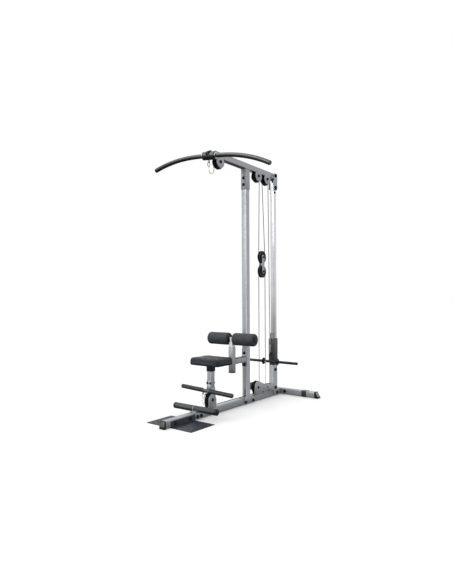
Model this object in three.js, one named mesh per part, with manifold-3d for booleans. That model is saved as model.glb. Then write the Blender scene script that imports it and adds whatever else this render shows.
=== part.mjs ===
// Plate-loaded lat pulldown and low-row machine. Millimetres, +Z up, +X to the sitter's left,
// +Y to the rear. Y is measured from the middle of the front mast; the root group then moves
// the whole machine so that the origin is at the bottom centre of its bounding box.
import * as THREE from 'three';
import { mergeVertices } from 'three/addons/utils/BufferGeometryUtils.js';
import Module from 'manifold-3d';

const wasm = await Module();
wasm.setup();

// Clearances and stock sizes
const GAP = 0.3;
const PLATE = 4;
const MAIN_TUBE = 50.8;
const HALF_TUBE = MAIN_TUBE / 2;
const TUBE_WALL = 2.5;
const TUBE_CORNER = 5;
const SADDLE_INNER = HALF_TUBE + GAP;
const SADDLE_OUTER = SADDLE_INNER + PLATE;

// Base
const BASE_BOTTOM = 4;
const BASE_TOP = BASE_BOTTOM + MAIN_TUBE;
const BASE_FRONT_Y = -1000;
const FRONT_TIP_Y = -1017;
const REAR_TUBE_FRONT_Y = 528;
const REAR_TUBE_Y = REAR_TUBE_FRONT_Y + HALF_TUBE;
const REAR_TIP_Y = REAR_TUBE_FRONT_Y + MAIN_TUBE;
const REAR_TUBE_HALF = 376;
const REAR_TIP_X = 412;
const SADDLE_BOTTOM = 10;
const FOOT_PLATE = { halfWidth: 217, frontY: -955, rearY: -701, flangeTop: 46 };

// Mast and boom
const MAST_SLOT = { halfWidth: 10, bottom: 61, top: 125 };
const BOOM_BOTTOM = 2027;
const BOOM_TOP = BOOM_BOTTOM + MAIN_TUBE;
const BOOM_FRONT_Y = -437;
const BOOM_REAR_Y = 424.7;
const SOCKET_SIZE = 57.6;
const SOCKET_BOTTOM = 1851;

// Guide upright, its post and the carriage on it
const GUIDE_TUBE = 41.3;
const GUIDE_Y = 452.6;
const GUIDE_TOP = 2060;
const POST = { width: MAIN_TUBE, depth: 70, y: 441, top: 286 };
const CARRIAGE = { width: 58, depth: 73, y: 440.5, bottom: 316, top: 532, wall: 3 };
const HORN = { y: 391, z: 320, tip: 283, radius: 12.5, flangeX: 72, flangeRadius: 31 };
const CARRIAGE_EYE_Z = 388;
const CARRIAGE_CABLE_END_Z = 536;

// Pulleys and the cables that run in them
const PULLEY = { radius: 57, halfWidth: 10, hubHalf: 12, hubRadius: 14, bore: 6.4 };
const CABLE_RADIUS = 3;
const WRAP_RADIUS = 51;
const TOP_PULLEY_Z = 2001;
const LAT_PULLEY_Y = -384;
const FRONT_TOP_PULLEY_Y = 167;
const REAR_TOP_PULLEY_Y = 312;
const LOW_PULLEY_Z = 118.5;
const LOW_FRONT_PULLEY_Y = -491;
const LOW_REAR_PULLEY_Y = 150;
const BLOCK_Y = 254;
const BLOCK_UPPER_Z = 1281;
const BLOCK_LOWER_Z = 1151;
const CARRIAGE_EYE_Y = 385;
const ANCHOR_Z = 100;
const ANCHOR_CHAIN_TOP = 330;

// Lat bar at rest in its clip
const LAT_BAR = {
  x: -6, y: -485, z: 2030, yaw: 10, roll: 4.2, half: 519, shift: 9, drop: 91.5, bend: 2.3,
  flatHalf: 60, radius: 12.5, gripRadius: 18, gripStart: 62,
};
const LAT_HANGER = { radius: 33, half: 57, eyeDrop: 10 };
const BAR_CLIP = { half: 14, clearance: 4, thick: 2.6, plateTop: 2074 };
const LAT_CABLE_END_Z = 1940;

// Row bar at rest in its hook
const ROW_BAR = {
  y: -535, z: 193, roll: 2.5, half: 250, radius: 12.5, gripRadius: 17, gripStart: 36,
  lugX: -22, eyeY: -549, eyeZ: 174,
};
const BALL_RADIUS = 9;
const BALL_Y = LOW_FRONT_PULLEY_Y - WRAP_RADIUS;
const BALL_Z = 164;

// Seat
const SEAT_POST = { size: 44.5, y: -480, bottom: 180, top: 348 };
const SEAT_INNER = { size: 38.1, bottom: 200, top: 383.7 };
const SEAT_PAD = { halfWidth: 150, frontY: -592, rearY: -357, bottom: 388, top: 446.5, corner: 42 };
const SEAT_PIN_Z = 318;
const PIN_RADIUS = 4;

// Knee hold-down
const KNEE_HOLDER = { size: 45, wall: 3, y: -203, bottom: 298, top: 506 };
const KNEE_PLATE = { bottom: 324, top: 474 };
const KNEE_ARM = { bottom: 359, top: 403, half: 22 };
const KNEE_POST = { size: 38.1, bottom: 330, top: 586 };
const KNEE_AXLE = { z: 570, radius: 8, half: 234 };
const KNEE_ROLLER = { radius: 51.5, inner: 25, outer: 231.5, edge: 14 };
const KNEE_PIN_Z = 466;

// Foot brace
const BRACE = { y: -663, z: 78.6, radius: 23.3, half: 211 };

// Shape of the whole, used to centre it
const CENTRE_Y = (FRONT_TIP_Y + REAR_TIP_Y) / 2;

const paint = { color: 0x9a9ea3, roughness: 0.42, metalness: 0.55 };
const chrome = { color: 0xe6e9ee, roughness: 0.08, metalness: 1 };
const blackPaint = { color: 0x17181a, roughness: 0.45, metalness: 0.3 };
const steel = { color: 0xb9bdc2, roughness: 0.3, metalness: 0.95 };
const rubber = { color: 0x1e1f21, roughness: 0.8, metalness: 0 };
const plastic = { color: 0x1a1b1d, roughness: 0.5, metalness: 0 };
const nylon = { color: 0x8b8d8f, roughness: 0.55, metalness: 0 };
const foam = { color: 0x33353a, roughness: 0.85, metalness: 0 };
const vinyl = { color: 0x36383d, roughness: 0.55, metalness: 0 };
const cableCoat = { color: 0x8e9297, roughness: 0.4, metalness: 0.1 };

function named(name, geometry, look) {
  const mesh = new THREE.Mesh(geometry, new THREE.MeshStandardMaterial(look));
  mesh.name = name;
  return mesh;
}

// ---- solids ---------------------------------------------------------------

function toSolid(geometry) {
  const bare = geometry.clone();
  bare.deleteAttribute('normal');
  bare.deleteAttribute('uv');
  const merged = mergeVertices(bare, 1e-4);
  return new wasm.Manifold(new wasm.Mesh({
    numProp: 3,
    vertProperties: new Float32Array(merged.attributes.position.array),
    triVerts: new Uint32Array(merged.index.array),
  }));
}

function toGeometry(solid) {
  const mesh = solid.getMesh();
  const geometry = new THREE.BufferGeometry();
  geometry.setAttribute('position', new THREE.BufferAttribute(mesh.vertProperties, 3));
  geometry.setIndex(new THREE.BufferAttribute(mesh.triVerts, 1));
  geometry.computeVertexNormals();
  return geometry;
}

function join(...geometries) {
  return toGeometry(geometries.map(toSolid).reduce((whole, piece) => whole.add(piece)));
}

function cut(geometry, ...tools) {
  return toGeometry(tools.map(toSolid).reduce((whole, tool) => whole.subtract(tool), toSolid(geometry)));
}

function box(x0, x1, y0, y1, z0, z1) {
  const geometry = new THREE.BoxGeometry(x1 - x0, y1 - y0, z1 - z0);
  return geometry.translate((x0 + x1) / 2, (y0 + y1) / 2, (z0 + z1) / 2);
}

function roundedSquare(width, depth, corner) {
  const shape = new THREE.Shape();
  const x = width / 2;
  const y = depth / 2;
  shape.absarc(x - corner, y - corner, corner, 0, Math.PI / 2);
  shape.absarc(corner - x, y - corner, corner, Math.PI / 2, Math.PI);
  shape.absarc(corner - x, corner - y, corner, Math.PI, Math.PI * 1.5);
  shape.absarc(x - corner, corner - y, corner, Math.PI * 1.5, Math.PI * 2);
  return shape;
}

// A square tube standing on z = 0; turnTo lays it along another axis.
function squareTube(width, depth, length, wall = TUBE_WALL, corner = TUBE_CORNER) {
  const shape = roundedSquare(width, depth, corner);
  shape.holes.push(roundedSquare(width - 2 * wall, depth - 2 * wall, corner - wall / 2));
  return new THREE.ExtrudeGeometry(shape, { depth: length, bevelEnabled: false, curveSegments: 2 });
}

function turnTo(axis, geometry) {
  if (axis === 'x') return geometry.rotateY(Math.PI / 2);
  if (axis === 'y') return geometry.rotateX(-Math.PI / 2);
  return geometry;
}

// A flat plate from an outline of [y, z] points or a Shape in (y, z), spanning x0 to x1.
function sidePlate(outline, x0, x1, curveSegments = 10) {
  const shape = outline instanceof THREE.Shape
    ? outline
    : new THREE.Shape(outline.map(([y, z]) => new THREE.Vector2(y, z)));
  const geometry = new THREE.ExtrudeGeometry(shape, { depth: x1 - x0, bevelEnabled: false, curveSegments });
  geometry.rotateZ(Math.PI / 2);
  geometry.rotateY(Math.PI / 2);
  return geometry.translate(x0, 0, 0);
}

function rodX(radius, x0, x1, y, z, sides = 12) {
  const geometry = new THREE.CylinderGeometry(radius, radius, x1 - x0, sides);
  geometry.rotateZ(Math.PI / 2);
  return geometry.translate((x0 + x1) / 2, y, z);
}

// A turned piece whose profile holds [radius, distance along the axis]; the axis is laid along X.
function turned(profile, segments = 20) {
  const points = profile.map(([radius, along]) => new THREE.Vector2(radius, along));
  return new THREE.LatheGeometry(points, segments).rotateZ(-Math.PI / 2);
}

function ringX(inner, outer, x0, x1) {
  return turned([[inner, x0], [outer, x0], [outer, x1], [inner, x1], [inner, x0]]);
}

// A polyline used as a sweep path, one sweep step per stretch.
class Route extends THREE.Curve {
  constructor(points) {
    super();
    this.points = points;
  }

  getPoint(t, target = new THREE.Vector3()) {
    const place = Math.min(Math.max(t, 0), 1) * (this.points.length - 1);
    const index = Math.min(Math.floor(place), this.points.length - 2);
    return target.lerpVectors(this.points[index], this.points[index + 1], place - index);
  }

  getPointAt(u, target) {
    return this.getPoint(u, target);
  }

  getTangentAt(u, target = new THREE.Vector3()) {
    const step = 0.4 / (this.points.length - 1);
    const ahead = this.getPoint(u + step);
    return target.subVectors(ahead, this.getPoint(u - step)).normalize();
  }
}

function circleShape(radius) {
  const shape = new THREE.Shape();
  shape.absarc(0, 0, radius, 0, Math.PI * 2);
  return shape;
}

function sweep(points, shape, curveSegments = 4) {
  const route = new Route(points);
  return new THREE.ExtrudeGeometry(shape, {
    steps: points.length - 1, extrudePath: route, bevelEnabled: false, curveSegments,
  });
}

// Points of an arc in the plane x = constant; angles in degrees from +Y towards +Z.
function arcPoints(y, z, radius, from, to, steps = 7) {
  return Array.from({ length: steps + 1 }, (_, i) => {
    const angle = THREE.MathUtils.degToRad(from + (to - from) * (i / steps));
    return new THREE.Vector3(0, y + radius * Math.cos(angle), z + radius * Math.sin(angle));
  });
}

function cable(name, points) {
  return named(name, sweep(points, circleShape(CABLE_RADIUS)), cableCoat);
}

// ---- base -----------------------------------------------------------------

function baseTube() {
  const length = REAR_TUBE_FRONT_Y - GAP - BASE_FRONT_Y;
  const mesh = named('base_tube', turnTo('y', squareTube(MAIN_TUBE, MAIN_TUBE, length)), paint);
  mesh.position.set(0, BASE_FRONT_Y, BASE_BOTTOM + HALF_TUBE);
  return mesh;
}

function rearCrossTube() {
  const geometry = turnTo('x', squareTube(MAIN_TUBE, MAIN_TUBE, 2 * REAR_TUBE_HALF));
  const mesh = named('rear_cross_tube', geometry, paint);
  mesh.position.set(-REAR_TUBE_HALF, REAR_TUBE_Y, BASE_BOTTOM + HALF_TUBE);
  return mesh;
}

// A wedge-faced end cap: its outline in (distance out of the tube, height), and a plug inside.
function footCap(name, reach) {
  const plugDepth = 22;
  const top = BASE_TOP + 2;
  const outline = [[GAP, 0], [reach, 0], [reach, 10], [reach * 0.3, top], [GAP, top]];
  const head = sidePlate(outline, -HALF_TUBE - 1, HALF_TUBE + 1);
  const plugHalf = HALF_TUBE - TUBE_WALL - GAP;
  const middle = BASE_BOTTOM + HALF_TUBE;
  const plug = box(-plugHalf + 2, plugHalf - 2, -plugDepth, 1, middle - plugHalf + 2, middle + plugHalf - 2);
  return named(name, join(head, plug), plastic);
}

function footCaps() {
  const front = footCap('front_foot_cap', BASE_FRONT_Y - FRONT_TIP_Y);
  front.rotation.z = Math.PI;
  front.position.y = BASE_FRONT_Y;
  const sides = [['right', 1], ['left', -1]].map(([side, sign]) => {
    const cap = footCap(`rear_foot_cap_${side}`, REAR_TIP_X - REAR_TUBE_HALF);
    cap.rotation.z = -sign * Math.PI / 2;
    cap.position.set(sign * REAR_TUBE_HALF, REAR_TUBE_Y, 0);
    return cap;
  });
  return [front, ...sides];
}

function frontFootPlate() {
  const { halfWidth, frontY, rearY, flangeTop } = FOOT_PLATE;
  const thick = BASE_BOTTOM - GAP;
  const plate = roundedSquare(2 * halfWidth, rearY - frontY, 6);
  const sheet = new THREE.ExtrudeGeometry(plate, { depth: thick, bevelEnabled: false, curveSegments: 3 });
  sheet.translate(0, (frontY + rearY) / 2, 0);
  const flange = (sign) => {
    const inner = sign * SADDLE_INNER;
    const outer = sign * SADDLE_OUTER;
    return box(Math.min(inner, outer), Math.max(inner, outer), frontY, rearY, thick - 1, flangeTop);
  };
  return named('front_foot_plate', join(sheet, flange(1), flange(-1)), blackPaint);
}

// ---- mast, boom and guide -------------------------------------------------

// A U-shaped saddle that sits on the base tube between two places along it.
function baseSaddle(y0, y1) {
  const top = BASE_TOP + GAP + PLATE;
  return join(
    box(-SADDLE_OUTER, SADDLE_OUTER, y0, y1, BASE_TOP + GAP, top),
    box(-SADDLE_OUTER, -SADDLE_INNER, y0, y1, SADDLE_BOTTOM, top),
    box(SADDLE_INNER, SADDLE_OUTER, y0, y1, SADDLE_BOTTOM, top),
  );
}

function frontMast() {
  const foot = BASE_TOP + GAP + PLATE - 1;
  const tube = squareTube(MAIN_TUBE, MAIN_TUBE, BOOM_BOTTOM - GAP - foot);
  tube.translate(0, 0, foot);
  const { halfWidth, bottom, top } = MAST_SLOT;
  const slot = box(-halfWidth, halfWidth, -MAIN_TUBE, MAIN_TUBE, bottom, top);
  return named('front_mast', cut(join(tube, baseSaddle(-66, 78)), slot), paint);
}

function discPlate(y, z, radius, x0, x1) {
  return rodX(radius, x0, x1, y, z, 24);
}

// Cheeks on both sides of a boom pulley, with the axle and its spacers between them.
function boomCheeks(y) {
  const inner = HALF_TUBE - 0.6;
  const outer = HALF_TUBE + 3.4;
  const { hubHalf, bore } = PULLEY;
  return [
    discPlate(y, TOP_PULLEY_Z, 38, -outer, -inner),
    discPlate(y, TOP_PULLEY_Z, 50, inner, outer),
    rodX(bore - 0.4, -outer, outer, y, TOP_PULLEY_Z),
    rodX(10, -inner - 1, -hubHalf - GAP, y, TOP_PULLEY_Z),
    rodX(10, hubHalf + GAP, inner + 1, y, TOP_PULLEY_Z),
  ];
}

function topBoom() {
  const tube = turnTo('y', squareTube(MAIN_TUBE, MAIN_TUBE, BOOM_REAR_Y - BOOM_FRONT_Y));
  tube.translate(0, BOOM_FRONT_Y, BOOM_BOTTOM + HALF_TUBE);
  const slotHalf = PULLEY.hubHalf + 1.5;
  const slotReach = 58;
  const pulleyPlaces = [LAT_PULLEY_Y, FRONT_TOP_PULLEY_Y, REAR_TOP_PULLEY_Y];
  const slots = pulleyPlaces.map((y) => (
    box(-slotHalf, slotHalf, y - slotReach, y + slotReach, BOOM_BOTTOM - 1, BOOM_BOTTOM + 8)
  ));
  const socket = squareTube(SOCKET_SIZE, SOCKET_SIZE, BOOM_BOTTOM + 0.5 - SOCKET_BOTTOM, 3.1);
  socket.translate(0, 0, SOCKET_BOTTOM);
  const cheeks = pulleyPlaces.flatMap(boomCheeks);
  return named('top_boom', join(cut(tube, ...slots), socket, ...cheeks), paint);
}

function boomEndCap() {
  const y = BOOM_FRONT_Y - GAP;
  const plugHalf = HALF_TUBE - TUBE_WALL - 2;
  const face = box(-HALF_TUBE, HALF_TUBE, y - PLATE, y, BOOM_BOTTOM, BOOM_TOP);
  const plug = box(-plugHalf, plugHalf, y - 1, y + 6, BOOM_BOTTOM + 29, BOOM_TOP - TUBE_WALL - 2);
  return named('boom_end_cap', join(face, plug), plastic);
}

// A strap over the lat bar's hanger, open downwards, on a plate against the boom's end cap.
function barClip() {
  const { half, clearance, thick, plateTop } = BAR_CLIP;
  const inner = LAT_HANGER.radius + clearance;
  const strap = new THREE.Shape();
  strap.absarc(0, 0, inner + thick, 0, Math.PI);
  strap.absarc(0, 0, inner, Math.PI, 0, true);
  const arch = sidePlate(strap, -half, half).translate(0, LAT_BAR.y, LAT_BAR.z);
  const back = BOOM_FRONT_Y - 2 * GAP - PLATE;
  const web = box(-half, half, LAT_BAR.y + inner + 0.5, back, LAT_BAR.z, LAT_BAR.z + 12);
  const plate = box(-half, half, back - 3, back, LAT_BAR.z, plateTop);
  return named('bar_clip', join(arch, web, plate), blackPaint);
}

function rearPost() {
  const foot = BASE_TOP + GAP + PLATE - 1;
  const tube = squareTube(POST.width, POST.depth, POST.top - foot);
  tube.translate(0, POST.y, foot);
  const saddle = baseSaddle(POST.y - POST.depth / 2 - 2, POST.y + POST.depth / 2 + 32);
  return named('rear_post', join(tube, saddle), paint);
}

function guideUpright() {
  const foot = BASE_TOP + GAP + PLATE + GAP;
  const mesh = named('guide_upright', squareTube(GUIDE_TUBE, GUIDE_TUBE, GUIDE_TOP - foot, 2.5, 4), chrome);
  mesh.position.set(0, GUIDE_Y, foot);
  return mesh;
}

// A box on the guide's top, open below, whose front wall is welded to the end of the boom.
function uprightTopBracket() {
  const wall = 3.5;
  const inner = SADDLE_INNER;
  const outer = inner + wall;
  const frontY = BOOM_REAR_Y + GAP;
  const rearY = frontY + 59;
  const bottom = 1931;
  const top = BOOM_TOP + GAP + wall;
  return named('upright_top_bracket', join(
    box(-outer, -inner, frontY, rearY, bottom, top),
    box(inner, outer, frontY, rearY, bottom, top),
    box(-outer, outer, rearY - wall, rearY, bottom, top),
    box(-outer, outer, frontY, frontY + wall, BOOM_BOTTOM - 4, top),
    box(-outer, outer, frontY, rearY, BOOM_TOP + GAP, top),
  ), paint);
}

// ---- carriage -------------------------------------------------------------

function carriageSleeve() {
  const { width, depth, y, bottom, top, wall } = CARRIAGE;
  const tube = squareTube(width, depth, top - bottom, wall);
  tube.translate(0, y, bottom);
  const eye = new THREE.Shape();
  const front = y - depth / 2;
  eye.moveTo(front + 1, CARRIAGE_EYE_Z - 22);
  eye.lineTo(front + 1, CARRIAGE_EYE_Z + 22);
  eye.lineTo(CARRIAGE_EYE_Y, CARRIAGE_EYE_Z + 14);
  eye.absarc(CARRIAGE_EYE_Y, CARRIAGE_EYE_Z, 14, Math.PI / 2, Math.PI * 1.5);
  const hole = new THREE.Path();
  hole.absarc(CARRIAGE_EYE_Y - 1, CARRIAGE_EYE_Z, 7.4, 0, Math.PI * 2);
  eye.holes.push(hole);
  return named('carriage_sleeve', join(tube, sidePlate(eye, -3, 3, 6)), blackPaint);
}

function carriageLiner() {
  const { width, depth, y, bottom, top, wall } = CARRIAGE;
  const outerX = width / 2 - wall - GAP;
  const outerY = depth / 2 - wall - GAP;
  const bore = GUIDE_TUBE / 2 + GAP;
  const body = roundedSquare(2 * outerX, 2 * outerY, 3);
  const ring = new THREE.ExtrudeGeometry(body, { depth: top + 2 - bottom, bevelEnabled: false, curveSegments: 2 });
  ring.translate(0, y, bottom);
  const nose = box(-16, 16, y - outerY + 1, GUIDE_Y - bore, top, top + 52);
  const shaft = box(-bore, bore, GUIDE_Y - bore, GUIDE_Y + bore, bottom - 5, top + 60);
  return named('carriage_liner', cut(join(ring, nose), shaft), nylon);
}

// Half of the plate bar that crosses the front of the carriage.
function weightHorn(side, sign) {
  const { tip, radius, flangeX, flangeRadius } = HORN;
  const profile = [
    [0, GAP], [radius, GAP], [radius, flangeX], [flangeRadius, flangeX],
    [flangeRadius, flangeX + 6], [radius, flangeX + 6], [radius, tip - 3], [radius - 3, tip], [0, tip],
  ];
  const mesh = named(`weight_horn_${side}`, turned(profile), steel);
  mesh.rotation.z = sign > 0 ? 0 : Math.PI;
  mesh.position.set(0, HORN.y, HORN.z);
  return mesh;
}

function carriageBumper() {
  const outer = roundedSquare(POST.width - 2, POST.depth - 2, 6);
  const block = new THREE.ExtrudeGeometry(outer, {
    depth: CARRIAGE.bottom - POST.top - 2 * GAP, bevelEnabled: false, curveSegments: 3,
  });
  block.translate(0, POST.y, POST.top + GAP);
  const bore = GUIDE_TUBE / 2 + GAP;
  const shaft = box(-bore, bore, GUIDE_Y - bore, GUIDE_Y + bore, POST.top - 5, CARRIAGE.bottom + 5);
  return named('carriage_bumper', cut(block, shaft), rubber);
}

// A snap hook: an oval ring of wire, in the plane x = 0, with its long axis upright.
function snapRing(y, bottom, top, width, wire) {
  const half = width / 2;
  const outer = new THREE.Shape();
  outer.absarc(y, top - half, half, 0, Math.PI);
  outer.absarc(y, bottom + half, half, Math.PI, Math.PI * 2);
  const inner = new THREE.Path();
  inner.absarc(y, top - half, half - wire, 0, Math.PI);
  inner.absarc(y, bottom + half, half - wire, Math.PI, Math.PI * 2);
  outer.holes.push(inner);
  return sidePlate(outer, -wire / 2, wire / 2, 6);
}

// The carriage's snap hook turned across the eye, and the thimble of the cable's end above it.
function carriageSnapHook() {
  const y = CARRIAGE_EYE_Y - 1;
  const ring = snapRing(0, CARRIAGE_EYE_Z, CARRIAGE_CABLE_END_Z - 20, 26, 5.4);
  ring.rotateZ(Math.PI / 2);
  ring.translate(0, y, 0);
  const thimble = box(-4, 4, y - 4, y + 4, CARRIAGE_CABLE_END_Z - 22, CARRIAGE_CABLE_END_Z - GAP);
  return named('carriage_snap_hook', join(ring, thimble), steel);
}

// ---- pulleys and cables ---------------------------------------------------

function pulley(name, y, z) {
  const { radius, halfWidth, hubHalf, hubRadius, bore } = PULLEY;
  const floor = WRAP_RADIUS - CABLE_RADIUS - 1;
  const profile = [
    [bore, -hubHalf], [hubRadius, -hubHalf], [hubRadius + 2, -halfWidth], [radius, -halfWidth],
    [radius, -halfWidth + 1.5], [floor, -4], [floor, 4], [radius, halfWidth - 1.5],
    [radius, halfWidth], [hubRadius + 2, halfWidth], [hubRadius, hubHalf], [bore, hubHalf],
    [bore, -hubHalf],
  ];
  const mesh = named(name, turned(profile), plastic);
  mesh.position.set(0, y, z);
  return mesh;
}

function pulleys() {
  return [
    pulley('lat_pulley', LAT_PULLEY_Y, TOP_PULLEY_Z),
    pulley('top_pulley_front', FRONT_TOP_PULLEY_Y, TOP_PULLEY_Z),
    pulley('top_pulley_rear', REAR_TOP_PULLEY_Y, TOP_PULLEY_Z),
    pulley('low_pulley_front', LOW_FRONT_PULLEY_Y, LOW_PULLEY_Z),
    pulley('low_pulley_rear', LOW_REAR_PULLEY_Y, LOW_PULLEY_Z),
    pulley('block_pulley_upper', BLOCK_Y, BLOCK_UPPER_Z),
    pulley('block_pulley_lower', BLOCK_Y, BLOCK_LOWER_Z),
  ];
}

// Two straps that carry the floating pair of pulleys on their axles.
function pulleyBlock() {
  const inner = PULLEY.hubHalf + GAP + 1;
  const outer = inner + PLATE;
  const strap = new THREE.Shape();
  strap.absarc(BLOCK_Y, BLOCK_UPPER_Z, 19, 0, Math.PI);
  strap.absarc(BLOCK_Y, BLOCK_LOWER_Z, 19, Math.PI, Math.PI * 2);
  const axle = (z) => rodX(PULLEY.bore - 0.4, -outer - 5, outer + 5, BLOCK_Y, z);
  return named('pulley_block', join(
    sidePlate(strap, -outer, -inner, 8),
    sidePlate(strap, inner, outer, 8),
    axle(BLOCK_UPPER_Z),
    axle(BLOCK_LOWER_Z),
  ), paint);
}

function lowFrontBracket() {
  const inner = SEAT_POST.size / 2 + GAP;
  const outer = inner + PLATE;
  const floor = BASE_TOP + GAP;
  const half = 47;
  const tongueHalf = SEAT_POST.size / 2;
  const cheek = (reach) => {
    const outline = new THREE.Shape();
    outline.moveTo(LOW_FRONT_PULLEY_Y - reach, floor);
    outline.lineTo(LOW_FRONT_PULLEY_Y + half, floor);
    outline.lineTo(LOW_FRONT_PULLEY_Y + half, LOW_PULLEY_Z);
    outline.lineTo(SEAT_POST.y + tongueHalf, LOW_PULLEY_Z + 32);
    outline.lineTo(SEAT_POST.y + tongueHalf, 214);
    outline.lineTo(SEAT_POST.y - tongueHalf, 214);
    outline.lineTo(SEAT_POST.y - tongueHalf, LOW_PULLEY_Z + reach - 1);
    outline.absarc(LOW_FRONT_PULLEY_Y, LOW_PULLEY_Z, reach, Math.PI * 0.58, Math.PI);
    return outline;
  };
  const { hubHalf, bore } = PULLEY;
  return named('low_front_bracket', join(
    box(-outer, outer, LOW_FRONT_PULLEY_Y - half, LOW_FRONT_PULLEY_Y + half, floor, floor + PLATE - 1),
    sidePlate(cheek(34), -outer, -inner, 8),
    sidePlate(cheek(half), inner, outer, 8),
    rodX(bore - 0.4, -outer, outer, LOW_FRONT_PULLEY_Y, LOW_PULLEY_Z),
    rodX(10, -inner - 1, -hubHalf - GAP, LOW_FRONT_PULLEY_Y, LOW_PULLEY_Z),
    rodX(10, hubHalf + GAP, inner + 1, LOW_FRONT_PULLEY_Y, LOW_PULLEY_Z),
  ), paint);
}

// Long side plates behind the mast; a tongue on the left one reaches the mast.
function lowRearBracket() {
  const inner = 20.5;
  const outer = inner + PLATE;
  const floor = BASE_TOP + GAP;
  const rearY = POST.y - POST.depth / 2 - 2 - GAP;
  const reach = 55;
  const rightCheek = new THREE.Shape();
  rightCheek.moveTo(LOW_REAR_PULLEY_Y - reach, floor);
  rightCheek.lineTo(rearY, floor);
  rightCheek.lineTo(rearY, 118);
  rightCheek.lineTo(LOW_REAR_PULLEY_Y + 130, 122);
  rightCheek.absarc(LOW_REAR_PULLEY_Y, LOW_PULLEY_Z, reach, Math.PI * 0.35, Math.PI);
  const leftCheek = new THREE.Shape();
  leftCheek.moveTo(LOW_REAR_PULLEY_Y - 20, floor);
  leftCheek.lineTo(rearY, floor);
  leftCheek.lineTo(rearY, 118);
  leftCheek.lineTo(LOW_REAR_PULLEY_Y + 130, 122);
  leftCheek.lineTo(LOW_REAR_PULLEY_Y + 24, 163);
  leftCheek.lineTo(SADDLE_INNER, 168);
  leftCheek.lineTo(SADDLE_INNER, 108);
  leftCheek.lineTo(LOW_REAR_PULLEY_Y - 20, 104);
  const { hubHalf, bore } = PULLEY;
  const y = LOW_REAR_PULLEY_Y;
  return named('low_rear_bracket', join(
    box(-outer, outer, y - 20, rearY, floor, floor + PLATE - 1),
    sidePlate(leftCheek, -outer, -inner, 8),
    sidePlate(rightCheek, inner, outer, 8),
    rodX(bore - 0.4, -outer, outer, y, LOW_PULLEY_Z),
    rodX(10, -inner - 1, -hubHalf - GAP, y, LOW_PULLEY_Z),
    rodX(10, hubHalf + GAP, inner + 1, y, LOW_PULLEY_Z),
    rodX(5, -outer, outer, BLOCK_Y + WRAP_RADIUS, ANCHOR_Z),
  ), paint);
}

// The adjusting chain, as its outer size, from the anchor pin to the end of the row cable.
function anchorChain() {
  const y = BLOCK_Y + WRAP_RADIUS;
  const bottom = ANCHOR_Z + 5 + GAP;
  const geometry = new THREE.CylinderGeometry(6, 6, ANCHOR_CHAIN_TOP - bottom, 8).rotateX(Math.PI / 2);
  const mesh = named('anchor_chain', geometry, steel);
  mesh.position.set(0, y, (ANCHOR_CHAIN_TOP + bottom) / 2);
  return mesh;
}

function cables() {
  const point = (y, z) => new THREE.Vector3(0, y, z);
  const arc = (y, z, from, to, steps) => arcPoints(y, z, WRAP_RADIUS, from, to, steps);
  return [
    cable('lat_cable_drop', [
      point(LAT_PULLEY_Y - WRAP_RADIUS, LAT_CABLE_END_Z + GAP),
      point(LAT_PULLEY_Y - WRAP_RADIUS, TOP_PULLEY_Z - GAP),
    ]),
    cable('lat_cable_run', [
      ...arc(LAT_PULLEY_Y, TOP_PULLEY_Z, 180, 90),
      ...arc(FRONT_TOP_PULLEY_Y, TOP_PULLEY_Z, 90, 0),
    ]),
    cable('lat_cable_loop', [
      point(FRONT_TOP_PULLEY_Y + WRAP_RADIUS, TOP_PULLEY_Z - 2 * GAP),
      ...arc(BLOCK_Y, BLOCK_UPPER_Z, 180, 360, 12),
      ...arc(REAR_TOP_PULLEY_Y, TOP_PULLEY_Z, 180, 0, 12),
    ]),
    cable('carriage_cable', [
      point(CARRIAGE_EYE_Y - 1, CARRIAGE_CABLE_END_Z),
      point(REAR_TOP_PULLEY_Y + WRAP_RADIUS, TOP_PULLEY_Z - GAP),
    ]),
    cable('row_cable_run', [
      ...arc(LOW_FRONT_PULLEY_Y, LOW_PULLEY_Z, 180, 270),
      ...arc(LOW_REAR_PULLEY_Y, LOW_PULLEY_Z, 270, 360),
    ]),
    cable('row_cable_loop', [
      point(LOW_REAR_PULLEY_Y + WRAP_RADIUS, LOW_PULLEY_Z + GAP),
      ...arc(BLOCK_Y, BLOCK_LOWER_Z, 180, 0, 12),
      point(BLOCK_Y + WRAP_RADIUS, ANCHOR_CHAIN_TOP + GAP),
    ]),
  ];
}

// ---- lat bar --------------------------------------------------------------

// Points along the bar's bent centre line, in the bar's own frame, from one place to another.
function latBarPoints(from, to, steps) {
  const { flatHalf, half, shift, drop, bend } = LAT_BAR;
  return Array.from({ length: steps + 1 }, (_, i) => {
    const x = from + (to - from) * (i / steps);
    const bent = Math.max(Math.abs(x - shift) - flatHalf, 0) / (half - flatHalf);
    return new THREE.Vector3(x, 0, -drop * bent ** bend);
  });
}

function ringShape(inner, outer) {
  const shape = circleShape(outer);
  const hole = new THREE.Path();
  hole.absarc(0, 0, inner, 0, Math.PI * 2);
  shape.holes.push(hole);
  return shape;
}

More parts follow.
